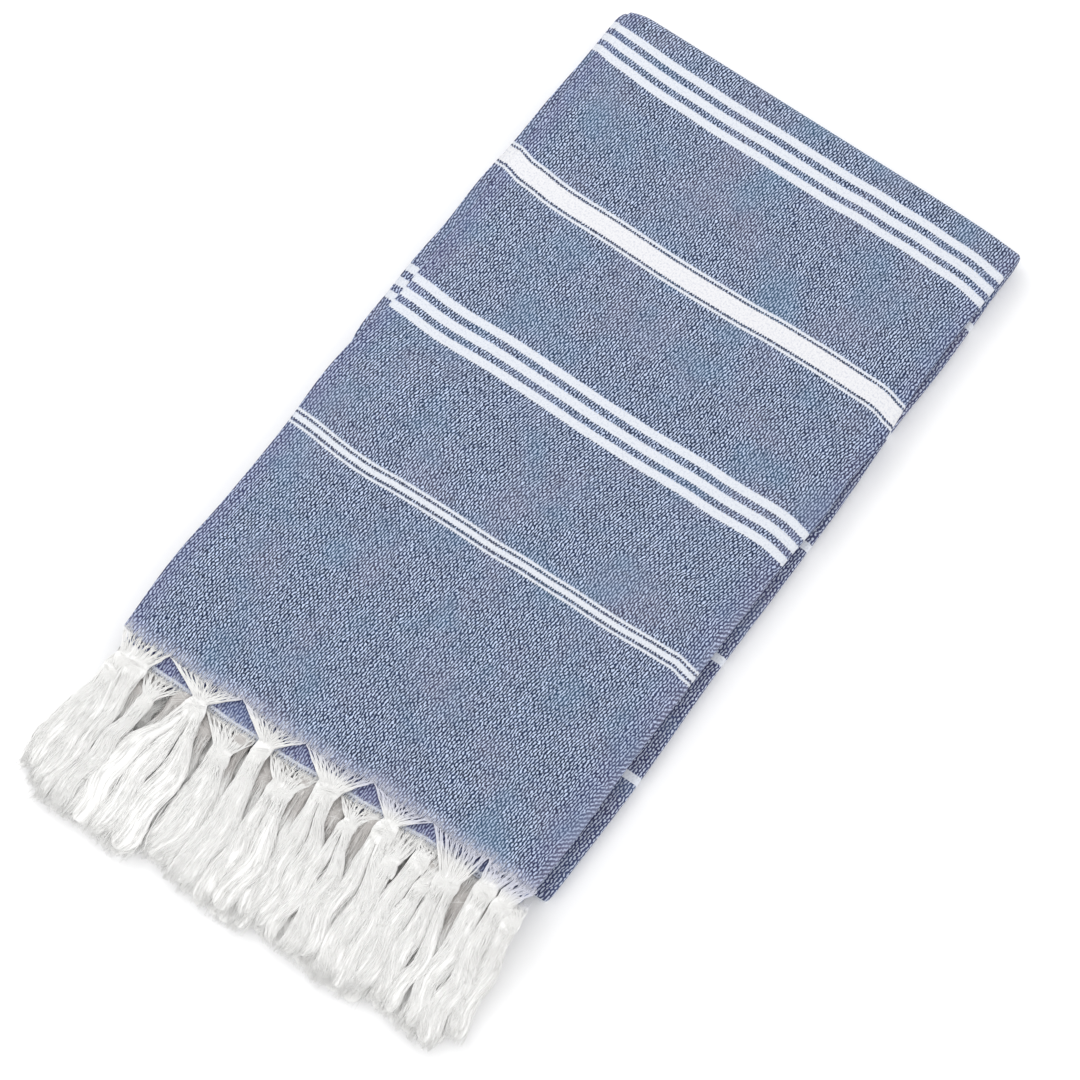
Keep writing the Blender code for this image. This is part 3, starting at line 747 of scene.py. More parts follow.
def makeCloth(shift, upperEnds, nextEnds):
    columns, stations, edges = foldedStrip()
    edges[:, 0] += across(rightOut, stations[:, 0]) * (stations[:, 1] > 3 * padPitch)
    x = placesAcross(columns, edges)
    y, height, under = stations[:, 0, None], columns[None, :, 5], columns[None, :, 8]

    # flat coordinates: along the section and along the path
    gaps = np.hypot(np.diff(x, axis=1), np.diff(height, axis=1))
    u = np.concatenate([np.zeros((len(x), 1)), np.cumsum(gaps, 1)], 1)
    width = u[:, -1].mean()
    u *= width / u[:, -1:]
    path = np.hypot(np.diff(stations[:, 0]), np.diff(stations[:, 1]))
    v = np.concatenate([[0], np.cumsum(path)])[:, None] + np.zeros_like(u)
    length = float(v.max())
    top = (v < folds["foldEnd"]).astype(float)

    order = np.arange(len(columns))[None, :]
    bowed = np.clip((bowFades["until"] - order) / bowFades["over"], 0, 1)
    vFlat = v - stripeBow(x, v) * bowed
    vFlat = vFlat - top * under * setIn(folds["nextLayerUp"], y)

    out = across(nextLayerOut, x) * under * (1 - ease(y / folds["nextLayerFades"])) * top
    outer = order <= clothMesh["outerSteps"]
    nearHem = (1 - ease(y / hemShape["over"])) * top
    bulge = nearHem * np.where(
        outer,
        hemShape["bulge"] * scallopWave(x, upperEnds) - across(notchesIn, x),
        hemShape["nextBulge"] * under * scallopWave(x, nextEnds),
    )
    halves = (folds["weave"] / 2, -folds["weave"] / 2)
    faces = [clothFace(columns, stations, x, half, out + bulge) for half in halves]
    count, wide = x.shape
    points = np.concatenate([f.reshape(-1, 3) for f in faces])
    grid = np.arange(count * wide).reshape(count, wide)
    upper = np.stack([grid[:-1, :-1], grid[:-1, 1:], grid[1:, 1:], grid[1:, :-1]], -1).reshape(-1, 4)
    lower = upper[:, ::-1] + count * wide
    rim = np.concatenate([grid[0, :], grid[1:, -1], grid[-1, -2::-1], grid[-2:0:-1, 0]])
    after = np.roll(rim, -1)
    walls = np.stack([after, rim, rim + count * wide, after + count * wide], -1)
    quads = np.concatenate([upper, lower, walls])
    points = points * mm + np.array(shift)
    cloth = newObject("clothFolded", points, [quads], weaveMaterial(length))
    fillFlatMap(cloth, u, vFlat)
    print(f"cloth: {width:.0f} x {length:.0f} mm flat, {2 * len(quads)} triangles")
    return cloth, (width * mm, length * mm)


def fillFlatMap(cloth, u, v):
    places = np.stack([u.ravel(), v.ravel()], -1) * mm
    places = np.concatenate([places, places])
    corners = np.empty(len(cloth.data.loops), np.int32)
    cloth.data.loops.foreach_get("vertex_index", corners)
    layer = cloth.data.uv_layers.new(name="flatCloth")
    layer.uv.foreach_set("vector", places[corners].astype(np.float32).ravel())


# The fringe: rows 4 and 3 hang from the upper end of the cloth, 2 and 1 from the lower one.
# Each row: pile row, whether it is the upper of its two layers, the widths of hem that its
# tassels gather from the left, the throat past the hem, how much that varies, the reach.
tasselLayers = {
    "upper": (
        (3, True, (20.0, 37.0, 36.0, 38.0, 37.0, 36.0, 24.0), 13.0, 2.0, 88),
        (3, False, (38.0, 37.0, 38.0, 36.0, 37.0, 36.0), 19.0, 2.5, 91),
    ),
    "lower": (
        (2, True, (26.0, 38.0, 36.0, 37.0, 36.0, 38.0, 16.0), 11.5, 1.5, 93),
        (2, False, (9.0, 37.0, 37.0, 36.0, 38.0, 36.0), 15.0, 1.5, 95),
        (1, True, (18.0, 36.0, 38.0, 37.0, 37.0, 36.0, 24.0), 11.5, 1.5, 94),
        (1, False, (36.0, 37.0, 36.0, 38.0, 36.0, 37.0), 15.0, 1.5, 96),
    ),
}
# The tassels of the top row, one by one. Each: whether it hangs from the upper layer, the ends
# of its width of hem, the knot's x, the throat past the hem line, half widths of throat and
# knot, the knot's length, the ends of its lane 50 mm past the hem, and how many locks it has.
topTassels = (
    (True, -124.0, -95.5, -108.5, 11.6, 9.0, 9.2, 10.0, -114, -101, 2),
    (True, -95.5, -53.3, -69.5, 11.2, 4.3, 6.4, 12.0, -91, -54, 3),
    (True, -53.3, -15.3, -30.5, 11.2, 4.6, 4.5, 13.0, -34, -20, 1),
    (True, -15.3, 22.9, 7.0, 11.4, 6.8, 6.0, 10.0, 3, 21, 2),
    (True, 22.9, 57.6, 41.3, 9.6, 4.4, 5.9, 13.0, 38, 56, 2),
    (True, 57.6, 89.4, 80.0, 16.5, 6.3, 6.8, 9.0, 76, 93, 2),
    (True, 89.4, 104.5, 97.0, 8.6, 5.2, 5.8, 10.0, 96, 106, 1),
    (True, 104.5, 117.0, 107.6, 11.0, 4.6, 5.2, 10.0, 105, 116, 1),
    (False, -119.0, -103.0, -115.0, 20.0, 5.0, 5.0, 9.0, -126, -113, 1),
    (False, -103.0, -80.0, -92.0, 23.5, 3.6, 4.2, 9.0, -101, -92, 1),
    (False, -66.0, -36.0, -46.0, 25.0, 5.2, 6.0, 9.0, -53, -34, 1),
    (False, -28.0, 1.0, -12.0, 23.5, 6.6, 6.8, 9.0, -19, 1, 2),
    (False, 12.0, 36.0, 25.0, 20.0, 3.9, 4.6, 8.0, 21, 38, 2),
    (False, 45.0, 59.0, 52.5, 24.0, 4.2, 4.6, 8.0, 48, 58, 1),
    (False, 56.5, 69.0, 63.5, 14.5, 4.4, 4.8, 9.0, 56, 67, 1),
    (False, 68.0, 80.0, 71.0, 24.0, 3.2, 4.0, 8.0, 66, 76, 1),
    (False, 103.0, 118.0, 115.5, 15.0, 4.2, 4.8, 9.0, 115, 125, 1),
)
# The pile of tassels: distance from the upper hem, floor, and the top of each row.
pile = np.array((
    (0, 10.25, 12.85, 15.45, 18.05, 20.65),
    (14, 10.25, 12.85, 15.45, 18.75, 22.6),
    (22, 7.2, 10.6, 14.0, 17.6, 21.6),
    (30, 3.2, 6.9, 10.7, 14.6, 18.6),
    (48, 0.0, 3.3, 6.6, 9.9, 13.2),
    (68, 0.0, 2.4, 4.8, 7.2, 9.6),
    (98, 0.0, 1.7, 3.4, 5.1, 6.8),
))
yarn = {
    "bundles": 32,  # groups of yarns that leave the hem together
    "strands": {4: 184, 3: 150, 2: 44, 1: 40},  # of each tassel, by row
    "radius": 0.24,
    "sides": 3,
    "lockPoints": 11,
    "wrapStrands": 18,
    "wrapPoints": 13,
    "crimp": 0.55,
    "crimpVaries": (0.3, 1.4),
    "crimpWave": (2.3, 3.4),
    "strandRoots": (0.3, 0.58, 0.66, 0.8, 1.0),  # share of the radius, at a strand's start
    "strandTips": (0.95, 0.8, 0.45),  # and at its end
    "thicknessVaries": (0.7, 1.2),
    "loose": (0.1, 0.14),  # share of the yarns that stand off their lock, and by how much
    "stray": (0.06, 2.2),  # share that stray sideways, and how far
    "colour": (0.955, 0.952, 0.94),
    "dimmest": 0.965,
    "shade": (0.84, 0.835, 0.83),  # of the colour, between the yarns
    "root": (0.62, 0.64, 0.82),  # where the yarns leave the blue weave
    "deepShade": (0.46, 0.42, 0.40),  # painted shade, deep between the knots
    "comb": (2.1, 0.10, 1.0),  # how fine the lines of yarn are, around and along
    "surface": (0.45, 0.3, 0.85, 0.2, 0.15),  # bump, its depth, roughness, shine, sheen
    "seed": 11,
}
# The bodies under the yarns: their sides by row, and where the rings of each part lie.
cores = {
    "sides": {4: 22, 3: 18, 2: 12, 1: 12},
    "fan": (0.46, 0.52, 0.6, 0.7, 0.85, 1.0),
    "knot": (0.15, 0.32, 0.5, 0.68, 0.85, 1.0),
    "lock": (*np.linspace(0, 0.86, 15), 0.9, 0.935, 0.96, 0.975),
    "tipFrom": (0.82, 0.16),  # where a lock's end starts to round, and over how far
    "girth": {"fan": 26.0, "lock": 16.0},  # for the lines of yarn around them
}
# The tassels that are mostly hidden.
hiddenTassels = {
    "halves": (4.4, 5.6),  # half widths of throat and knot
    "knotLength": 11.0,
    "narrowest": 8.0,  # width of hem
    "lastFurther": 4.0,  # how much further right each row's last knot lies
    "outerLanes": (15, 7),
}


def pileHeights(row, reach):
    low = np.interp(reach, pile[:, 0], pile[:, row])
    high = np.interp(reach, pile[:, 0], pile[:, row + 1])
    return low, high


def layerSpans(end):
    # Where each layer's hem starts and stops, from the top layer down.
    row = edgeRows[0] if end == "upper" else edgeRows[-1]
    _, _, right, outer, inner, left = row
    starts = (outer, inner, left + leftFold, left + leftFold)
    spans = [(start, right - rightFold) for start in starts]
    return spans if end == "upper" else spans[::-1]


def sway(seed):
    # An uneven value between -1 and 1.
    return math.sin(seed * 12.9898 + 4.1) * math.cos(seed * 4.1414 + 1.7)


def fanned(t, x, reach):
    # Where a place given 50 mm past the hem lies nearer the hem, and nearer the tips.
    if t["row"] == 4:
        return x + (reach - 50) / 30 * (0.02 * x + 0.5)
    share = ease((reach - 20) / 75)
    wave = 1.8 * np.sin(reach / 13 + x / 31)
    return mix(x, x * 1.08 + 4, share) + wave * np.minimum(share * 2, 1.0)


def tasselPlan(end):
    # Each tassel of one end: where it leaves the hem, its knot and its lane.
    hem = 0.0 if end == "upper" else folds["lowerHem"]
    base = (3 if end == "upper" else 2) * padPitch
    plan = []
    first = 2 if end == "upper" else 0
    for place, (row, upper, widths, throat, vary, reach) in enumerate(tasselLayers[end], first):
        start, stop = layerSpans(end)[place]
        ends = [start, *(start + np.cumsum(widths))]
        ends = [x for x in ends if x < stop - hiddenTassels["narrowest"]] + [stop]
        for i, (left, right) in enumerate(zip(ends, ends[1:])):
            seed = place * 7.3 + i + row
            plan.append({
                "row": row,
                "upper": upper,
                "ends": (left, right),
                "hem": -hem,
                "hemHeight": base + (3 - place) * pitch + folds["layer"] / 2,
                "x": (left + right) / 2 + 0.8 * sway(seed + 0.5),
                "throat": throat + vary * sway(seed) - hem - 1.5,
                "halves": hiddenTassels["halves"],
                "knotLength": hiddenTassels["knotLength"],
                "reach": reach + 4 * sway(seed + 0.2),
                "locks": 2 if i % 3 else 3,
                "seed": seed,
            })
    for row in {t["row"] for t in plan}:
        line = sorted((t for t in plan if t["row"] == row), key=lambda t: t["x"])
        line[-1]["x"] += hiddenTassels["lastFurther"]
        left, right = hiddenTassels["outerLanes"]
        places = [line[0]["x"] - left, *(t["x"] for t in line), line[-1]["x"] + right]
        for i, t in enumerate(line):
            t["lane"] = ((places[i] + places[i + 1]) / 2, (places[i + 1] + places[i + 2]) / 2)
    for i, row in enumerate(topTassels if end == "upper" else ()):
        upper, start, stop, x, throat, half, knot, long, left, right, locks = row
        plan.append({
            "row": 4,
            "upper": upper,
            "ends": (start, stop),
            "hem": 0.0 if upper else across(nextLayerOut, x),
            "hemHeight": base + (3 if upper else 2) * pitch + folds["layer"] / 2,
            "x": x,
            "throat": throat,
            "halves": (half, knot),
            "knotLength": long,
            "reach": 96.0,
            "locks": locks,
            "seed": i + 4.0,
            "lane": (left, right),
        })
    return plan


def loft(rings):
    # Closed bodies through rings of points: (bodies, steps, sides, 3).
    ids = np.arange(rings.size // 3).reshape(rings.shape[:3])
    after = np.roll(ids, -1, 2)
    quads = np.stack([ids[:, :-1], ids[:, 1:], after[:, 1:], after[:, :-1]], -1).reshape(-1, 4)
    caps = np.concatenate([ids[:, 0], ids[:, -1, ::-1]])
    return rings.reshape(-1, 3), quads, caps


def tubes(points, radii, reference):
    # Closed tubes along strands: points (strands, steps, 3), radii (strands, steps).
    forward = np.gradient(points, axis=1)
    forward /= np.linalg.norm(forward, axis=2, keepdims=True) + 1e-9
    side = np.cross(forward, reference)
    side /= np.linalg.norm(side, axis=2, keepdims=True) + 1e-9
    up = np.cross(side, forward)
    angles = np.arange(yarn["sides"])[None, None, :, None] * 2 * np.pi / yarn["sides"]
    radii = radii[:, :, None, None]
    ring = points[:, :, None, :] + radii * np.cos(angles) * side[:, :, None, :]
    return loft(ring + radii * np.sin(angles) * up[:, :, None, :])


# Where the tips end: x, and how far from the upper hem.
tipLine = np.array((
    (-124, 84), (-105, 92), (-79, 93.5), (-62, 96), (-53, 84), (-28, 90), (-1, 94), (8, 94.5),
    (11, 86), (34, 88), (55, 92), (71, 90.5), (76, 81), (96, 88), (115, 88), (124, 78),
))
# How the locks of a tassel differ from each other: ranges, and spreads in millimetres.
locksVary = {
    "share": (-0.22, 0.22),
    "bend": (0.5, 1.7),
    "twist": (0.1, 0.5),
    "lean": {4: 1.4, 3: 2.4, 2: 2.4, 1: 2.4},  # by row
    "lift": 0.75,
    "reach": 3.2,
    "shorter": 1.5,
    "full": (1.0, 1.16),
    "fuller": {4: 1.0, 3: 1.15, 2: 1.15, 1: 1.15},
}


def tasselShape(t, rng):
    # What the tassel's bodies and its yarns share: where it narrows, and its locks.
    throat = max(t["throat"], t["hem"] + 5.0)
    count = t["locks"]
    inner = (np.arange(1, count) + rng.uniform(*locksVary["share"], count - 1)) / count
    edges = np.concatenate([[0], inner, [1]])
    tipX = mix(*(fanned(t, x, 90.0) for x in t["lane"]), (edges[:-1] + edges[1:]) / 2)
    furthest = np.interp(tipX, tipLine[:, 0], tipLine[:, 1]) + rng.normal(0, 1.0, count)
    return {
        "throat": throat,
        "branch": throat + t["knotLength"],
        "branchHalf": t["halves"][1] * 0.74,
        "edges": edges,
        "bend": rng.uniform(*locksVary["bend"], count),
        "twist": rng.uniform(*locksVary["twist"], count) * rng.choice([-1, 1], count),
        "phase": rng.uniform(0, 2 * np.pi, count),
        "lean": rng.normal(0, locksVary["lean"][t["row"]], count),
        "lift": rng.normal(0, locksVary["lift"], count),
        "reach": np.minimum(
            t["reach"] + 1 + rng.normal(0, locksVary["reach"], count),
            furthest - rng.exponential(locksVary["shorter"], count),
        ),
        "full": rng.uniform(*locksVary["full"], count) * locksVary["fuller"][t["row"]],
        "slant": rng.normal(0, 1.2),
    }


def raised(t):
    # Tassels of the upper of two layers lie a little higher in their row.
    return 0.5 if t["upper"] else -0.4


def placed(x, reach, z):
    return np.stack(np.broadcast_arrays(x, -reach, z), -1)


def fanPlace(t, shape, side, up, part):
    # A place in the fan: side from -1 to 1, up from -1 to 1, part 0 at the hem, 1 at the throat.
    low, high = pileHeights(t["row"], shape["throat"])
    share = (side + 1) / 2
    drawn = np.clip(part, 0, 1)
    pull = 0.25 * ease(drawn) + 0.75 * drawn
    rootX = mix(*t["ends"], share)
    root = t["hem"] + hemShape["bulge" if t["upper"] else "nextBulge"] * swollen(share)
    if t["row"] == 4 and t["upper"]:
        root = root - across(notchesIn, rootX)
    elif t["row"] == 4:
        root = root + across(nextLayerOut, rootX) - t["hem"]
    x = mix(rootX, t["x"] + side * t["halves"][0], pull)
    reach = mix(root, shape["throat"], part)
    middle = mix(t["hemHeight"], (low + high) / 2 + raised(t), drawn**1.3)
    half = mix(0.42, (high - low) / 2 * 0.86, drawn**1.4)
    return x, reach, middle + up * half


def knotPlace(t, shape, side, up, part):
    # A place in the knot, part 0 at the throat, 1 where the locks branch.
    reach = mix(shape["throat"], shape["branch"], part)
    low, high = pileHeights(t["row"], reach)
    lump = np.sin(np.pi * np.clip(part, 0, 1)) ** 1.2
    throatHalf, knotHalf = t["halves"]
    half = mix(throatHalf, shape["branchHalf"], part)
    half = half + lump * (knotHalf - (throatHalf + shape["branchHalf"]) / 2)
    tall = (high - low) / 2 * (0.76 + 0.5 * lump)
    middle = (low + high) / 2 + mix(raised(t), 0.0, part) + 0.6 * lump
    return t["x"] + shape["slant"] * (part - 0.5) + side * half, reach, middle + up * tall


def lockPlace(t, shape, lock, side, up, part):
    # A place in a lock, part 0 inside the knot, 1 at the tip.
    reach = mix(shape["branch"] - 4.0, shape["reach"][lock], part)
    left, right = fanned(t, t["lane"][0], reach), fanned(t, t["lane"][1], reach)
    a, b = shape["edges"][lock], shape["edges"][lock + 1]
    opened = ease(part * (2.7 if t["row"] == 4 else 2.1))
    phase = shape["phase"][lock]
    middle = (left + right) / 2 + (a + b - 1) * (right - left) / 2 * 1.04
    middle = middle + shape["lean"][lock] * part + 1.3 * np.sin(reach / 9.5 + phase) * part
    middle = middle + shape["bend"][lock] * np.sin(reach / 5.2 + 2.3 * phase) * ease(part * 1.6)
    half = (b - a) * (right - left) / 2 * shape["full"][lock]
    half = half * np.interp(part, (0, 0.2, 0.5, 0.85, 1), (0.9, 0.9, 1.0, 1.1, 1.06))
    half = half * (1 + 0.07 * np.sin(reach / 5.1 + 2 * phase))
    middle = mix(t["x"] + (a + b - 1) * shape["branchHalf"], middle, opened)
    half = mix((b - a) * shape["branchHalf"] * 1.12, half, opened)
    low, high = pileHeights(t["row"], reach)
    tall = (high - low) / 2 * mix(0.9, 1.16, opened)
    height = np.maximum((low + high) / 2 + shape["lift"][lock] * opened, tall * 1.05 + 0.3)
    return middle + side * half, reach, height + up * tall


def around(angle):
    # A little flattened at the top and below.
    side, up = np.cos(angle), np.sin(angle)
    return side, np.sign(up) * np.abs(up) ** 0.9


def tasselBodies(t, shape):
    # Closed bodies under the yarns: the fan with its knot, and each lock.
    sides = cores["sides"][t["row"]]
    angle = np.linspace(0, 2 * np.pi, sides, endpoint=False)
    side, up = around(angle)
    rings, along = [], []
    for part in cores["fan"]:
        rough = 1 + 0.05 * np.sin(angle * 5 + t["seed"] + part * 4)
        taper = mix(0.6, 0.92, min((part - cores["fan"][0]) / 0.25, 1.0))
        place = fanPlace(t, shape, side * taper * rough, up * mix(0.5, 1.0, part), part)
        rings.append(placed(*place))
        along.append(t["hem"] + part * 10)
    for part in cores["knot"]:
        rings.append(placed(*knotPlace(t, shape, side, up, part)))
        along.append(shape["throat"] + part * 11)
    bodies = [(rings, along, cores["girth"]["fan"])]
    tipStart, tipOver = cores["tipFrom"]
    for lock in range(t["locks"]):
        rings, along = [], []
        for part in cores["lock"]:
            end = np.clip((part - tipStart) / tipOver, 0, 0.985)
            tip = np.sqrt(1 - end**2)
            turn = angle + shape["twist"][lock] * np.pi * part
            rough = 1 + 0.05 * np.sin(turn * 4 + shape["phase"][lock])
            rough = rough + 0.035 * np.sin(turn * 9 + part * 7)
            width, height = side * 0.93 * tip * rough, up * 0.9 * tip * rough
            x, reach, z = lockPlace(t, shape, lock, width, height, part)
            rings.append(placed(x, reach, z))
            along.append(float(reach))
        bodies.append((rings, along, cores["girth"]["lock"]))
    made = []
    for rings, along, girth in bodies:
        combAround = np.tile(angle / (2 * np.pi) * girth + t["x"] * 3, len(rings))
        made.append((*loft(np.array([rings])), np.stack([combAround, np.repeat(along, sides)], -1)))
    return made


def tasselStrands(t, shape, rng):
    # The yarns of one tassel, from the hem through the knot to the tips, before they settle.
    width = min((t["ends"][1] - t["ends"][0]) / 38, 1.1)
    n = round(yarn["strands"][t["row"]] * (0.5 + 0.5 * width))
    bundles = round(yarn["bundles"] * width)
    bundle = np.sort(rng.integers(0, bundles, n))
    place = (np.arange(bundles) + 0.5 + rng.uniform(-0.3, 0.3, bundles)) / bundles
    share = np.clip(place[bundle] + rng.normal(0, 0.0095 / width, n), 0.012, 0.988)
    side = share * 2 - 1
    lock = np.clip(np.searchsorted(shape["edges"], share) - 1, 0, t["locks"] - 1)
    # most yarns lie on the upper face of each body
    often = rng.uniform(0, 1, n) < 0.86
    angle = np.where(often, rng.uniform(-0.12, 1.12, n), rng.uniform(1.1, 1.9, n)) * np.pi
    often = rng.uniform(0, 1, n) < 0.8
    up = np.where(often, rng.uniform(0.85, 1.15, n), rng.uniform(-1, 0.8, n))
    columns = []
    inside = rng.exponential(0.6, bundles)[bundle] + rng.exponential(0.9, n)
    startX, startReach, _ = fanPlace(t, shape, side, 1.0, 0.0)
    drift = rng.normal(0, 0.6, n)
    flat = np.full(n, t["hemHeight"])
    columns.append((startX + drift, startReach - np.clip(inside, 0.1, 5.5), flat + 0.42))
    columns.append((startX + drift * 0.3, startReach + 0.5, flat + 0.62 + rng.uniform(-0.1, 0.4, n)))
    for part in (0.2, 0.46, 0.75):
        x, reach, z = fanPlace(t, shape, side, mix(1.0, up, part) * 1.06, part)
        x = x + (0.9 * np.sin(part * 6 + bundle * 2.1) + rng.normal(0, 0.3, n)) * (1 - part)
        columns.append((x, reach, z + rng.uniform(0, 0.5, n) * (1 - part)))
    fold = np.clip(np.sqrt(np.maximum(1 - (side * 0.94) ** 2, 0)), 0.2, 1)
    columns += [knotPlace(t, shape, side * 0.97, up * fold, part) for part in (0.0, 0.5)]
    often, by = yarn["loose"]
    spread = rng.uniform(0.97, 1.02, n) + (rng.uniform(0, 1, n) < often) * rng.uniform(0.0, by, n)
    end = 1.02 - rng.exponential(0.045, n).clip(0, 0.2)
    crimpPhase = shape["phase"][lock] + rng.normal(0, 0.8, n)
    crimpSize = yarn["crimp"] * rng.uniform(*yarn["crimpVaries"], n)
    crimpWave = rng.uniform(*yarn["crimpWave"], n)
    often, by = yarn["stray"]
    stray = (rng.uniform(0, 1, n) < often) * rng.normal(0, by, n)
    for along in np.linspace(0.16, 1, yarn["lockPoints"]):
        part = along * end
        turn = angle + shape["twist"][lock] * np.pi * part
        tight = 1 - 0.16 * ease((part - 0.86) / 0.16)
        cosine, sine = around(turn)
        width, height = cosine * 0.93 * spread * tight, sine * 0.92 * spread * tight
        x, reach, z = lockPlace(t, shape, lock, width, height, part)
        loose = ease(part * 3)
        x = x + (crimpSize * np.sin(reach / crimpWave + crimpPhase) + stray * part) * loose
        z = z + 0.3 * np.cos(reach / crimpWave + crimpPhase) * loose
        columns.append((x, reach, np.maximum(z, 0.35)))
    points = np.stack([placed(*column) for column in columns], 1)
    thick = np.ones(points.shape[1])
    thick[:5] = yarn["strandRoots"]
    thick[-3:] = yarn["strandTips"]
    radii = yarn["radius"] * thick[None, :] * rng.uniform(*yarn["thicknessVaries"], n)[:, None]
    return points, radii


def knotWrap(t, shape, rng):
    # The two turns of yarn that cross over the front of the knot.
    n, steps = yarn["wrapStrands"], yarn["wrapPoints"]
    share = np.tile((np.arange(n // 2) + 0.5) / (n // 2), 2)[:, None]
    hand = np.repeat([1, -1] if rng.uniform() < 0.6 else [-1, 1], n // 2)[:, None]
    over = np.repeat([0.0, 0.06], n // 2)[:, None]
    angle = np.pi * (1.2 - 1.4 * np.linspace(0, 1, steps))[None, :]
    slope = np.repeat(rng.uniform(1.4, 3.2, 2), n // 2)[:, None]
    middle = 0.45 + 0.1 * np.repeat(rng.uniform(-1, 1, 2), n // 2)[:, None]
    rounded = np.cos(np.pi * (share - 0.5))
    part = middle + ((share - 0.5) * 5.2 + slope * np.cos(angle) * hand) / t["knotLength"]
    part = np.clip(part, 0.04, 0.96)
    side = (0.90 + 0.06 * rounded) * np.cos(angle)
    up = (0.92 + 0.14 * rounded + over) * np.sin(angle)
    points = placed(*knotPlace(t, shape, side, up, part)) + rng.normal(0, 0.07, (n, 1, 3))
    radii = yarn["radius"] * 1.3 * np.ones((n, steps))
    radii[:, [0, -1]] *= 0.6
    return points, radii


def attribute(tree, name):
    node = tree.nodes.new("ShaderNodeAttribute")
    node.attribute_name = name
    return node.outputs


def yarnMaterial():
    material, tree, shader = graph("whiteYarn")
    tone = attribute(tree, "tone")["Fac"]
    comb = attribute(tree, "comb")["Vector"]
    combed = tree.nodes.new("ShaderNodeMapping")
    combed.inputs["Scale"].default_value = yarn["comb"]
    tree.links.new(comb, combed.inputs["Vector"])
    lines = noise(tree, combed.outputs[0], 1.0, 3.0, 0.6)
    coordinates = tree.nodes.new("ShaderNodeTexCoord")
    cloudy = noise(tree, coordinates.outputs["Object"], 90.0, 2.0)
    colour = blendColours(tree, tone, dimmed(yarn["colour"], yarn["dimmest"]), yarn["colour"])
    dusk = dimmed(yarn["colour"], *yarn["shade"])
    colour = tint(tree, colour, step(tree, lines, 0.56, 0.28), 0.38, dusk)
    colour = tint(tree, colour, step(tree, cloudy, 0.5, 0.75), 0.25, dusk)
    fromHem = separate(tree, comb)[1]
    colour = tint(tree, colour, step(tree, fromHem, 8.0, -1.0), 0.55, yarn["root"])
    # painted shade deep between the knots, where the tone has been lowered below zero
    colour = tint(tree, colour, step(tree, tone, 0.0, -0.8), 0.62, yarn["deepShade"])
    wire(tree, colour, shader.inputs["Base Color"])
    setSurface(tree, shader, lines, yarn["surface"])
    return material


class Gathered:
    # Points, faces and values of many small parts, joined as one mesh.
    def __init__(self):
        self.points, self.quads, self.caps, self.tones, self.combs = [], [], {}, [], []
        self.count = 0

    def add(self, points, quads, caps, tone, comb):
        self.points.append(points)
        self.quads.append(quads + self.count)
        for cap in caps:
            self.caps.setdefault(len(cap), []).append(cap + self.count)
        self.tones.append(tone)
        self.combs.append(comb)
        self.count += len(points)


def deepShadeMask(row, reach):
    # 1 where a lower row's knots lie deep between the upper ones, with painted shade that darkens them
    return 1.3 * (row == 3) * ease((reach - 8) / 6) * (1 - ease((reach - 28) / 14))


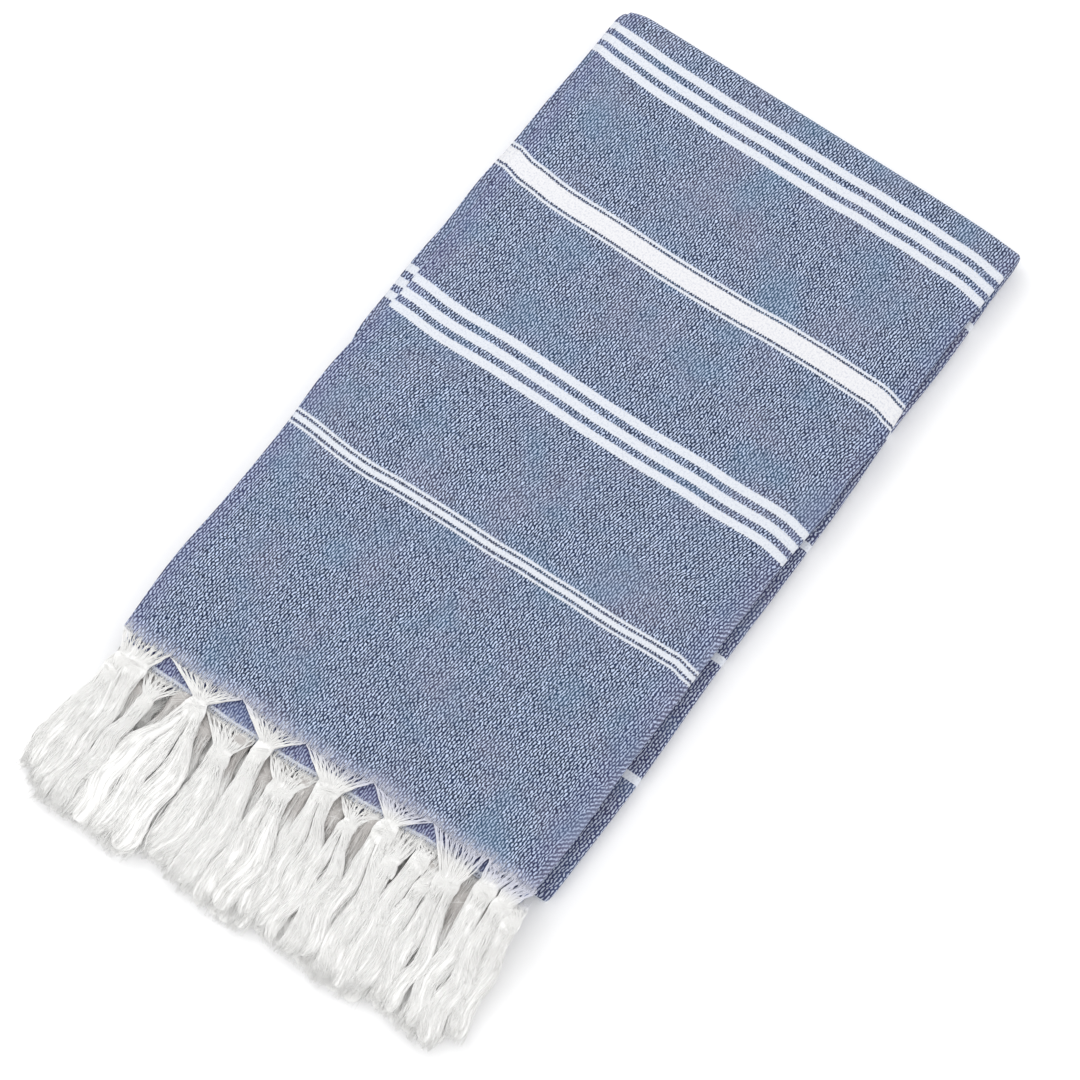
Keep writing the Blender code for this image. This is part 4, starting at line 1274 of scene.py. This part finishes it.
def makeRow(name, chosen, rng, shift, material):
    # Some tassels of one row of the pile, as one mesh.
    up, axis = np.array([0.0, 0.0, 1.0]), np.array([0.0, 1.0, 0.0])
    mesh = Gathered()
    for t in chosen:
        shape = tasselShape(t, rng)
        for points, quads, caps, comb in tasselBodies(t, shape):
            # a random tone, lowered by painted shade deep between the knots
            tone = rng.uniform(0.3, 1) - deepShadeMask(t["row"], -points[:, 1])
            mesh.add(settle(*points.T), quads, caps, tone, comb)
        yarns = [(*tasselStrands(t, shape, rng), up), (*knotWrap(t, shape, rng), axis)]
        for points, radii, reference in yarns:
            settled = settle(*np.moveaxis(points, -1, 0))
            ring, quads, caps = tubes(settled, radii, reference)
            repeat = points.shape[1] * yarn["sides"]
            # a random tone per yarn, lowered by painted shade deep between the knots
            tone = np.repeat(rng.uniform(0, 1, len(points)), repeat) - deepShadeMask(t["row"], -ring[:, 1])
            comb = np.stack([np.repeat(rng.uniform(0, 90, len(points)), repeat), -ring[:, 1]], -1)
            mesh.add(ring, quads, caps, tone, comb)
    points = np.concatenate(mesh.points)
    points[:, 2] = np.maximum(points[:, 2], 0.05)
    faces = [np.concatenate(mesh.quads)] + [np.array(caps) for caps in mesh.caps.values()]
    made = newObject(name, points * mm + np.array(shift), faces, material)
    tone = made.data.attributes.new("tone", "FLOAT", "POINT")
    tone.data.foreach_set("value", np.concatenate(mesh.tones).astype(np.float32))
    comb = made.data.attributes.new("comb", "FLOAT_VECTOR", "POINT")
    combs = np.concatenate(mesh.combs)
    comb.data.foreach_set("vector", np.c_[combs, np.zeros(len(combs))].astype(np.float32).ravel())
    triangles = sum(len(f) * (f.shape[1] - 2) for f in faces)
    print(f"{name}: {triangles} triangles")
    return made


def cadShift():
    # From the sizes above to the frame: the cloth's far and outer corner are known in both.
    columns, stations, edges = foldedStrip()
    face = clothFace(columns, stations, placesAcross(columns, edges), folds["layer"] / 2)
    ends = face.reshape(-1, 3).max(0) * mm
    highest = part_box("cloth")[1]
    return Vector((highest[0] - ends[0], highest[1] - ends[1], 0.0))


shift = cadShift()
print("shift to the frame:", [round(c * 1000, 2) for c in shift], "mm")
makeCamera(shift)
makeLight()
floor = makeFloor()
print("camera, light and floor made")

upperEnds, nextEnds = (
    sorted({x for row in topTassels if row[0] == upper for x in row[1:3]}) for upper in (True, False)
)
cloth, flatSize = makeCloth(shift, upperEnds, nextEnds)

whiteYarn = yarnMaterial()
for end, rows in (("upper", (4, 3)), ("lower", (2, 1))):
    plan = tasselPlan(end)
    for row in rows:
        rng = np.random.default_rng(yarn["seed"] + row)
        line = sorted((t for t in plan if t["row"] == row), key=lambda t: t["x"])
        half = len(line) // 2
        groups = (("left", line[:half]), ("right", line[half:])) if end == "upper" else (("all", line),)
        for part, chosen in groups:
            piece = makeRow(f"tassels_{end}_{row}_{part}", chosen, rng, shift, whiteYarn)
            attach(piece, "root")
            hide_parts(f"fringe_{end}")

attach(cloth, "root")
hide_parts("cloth")
print("pieces placed")
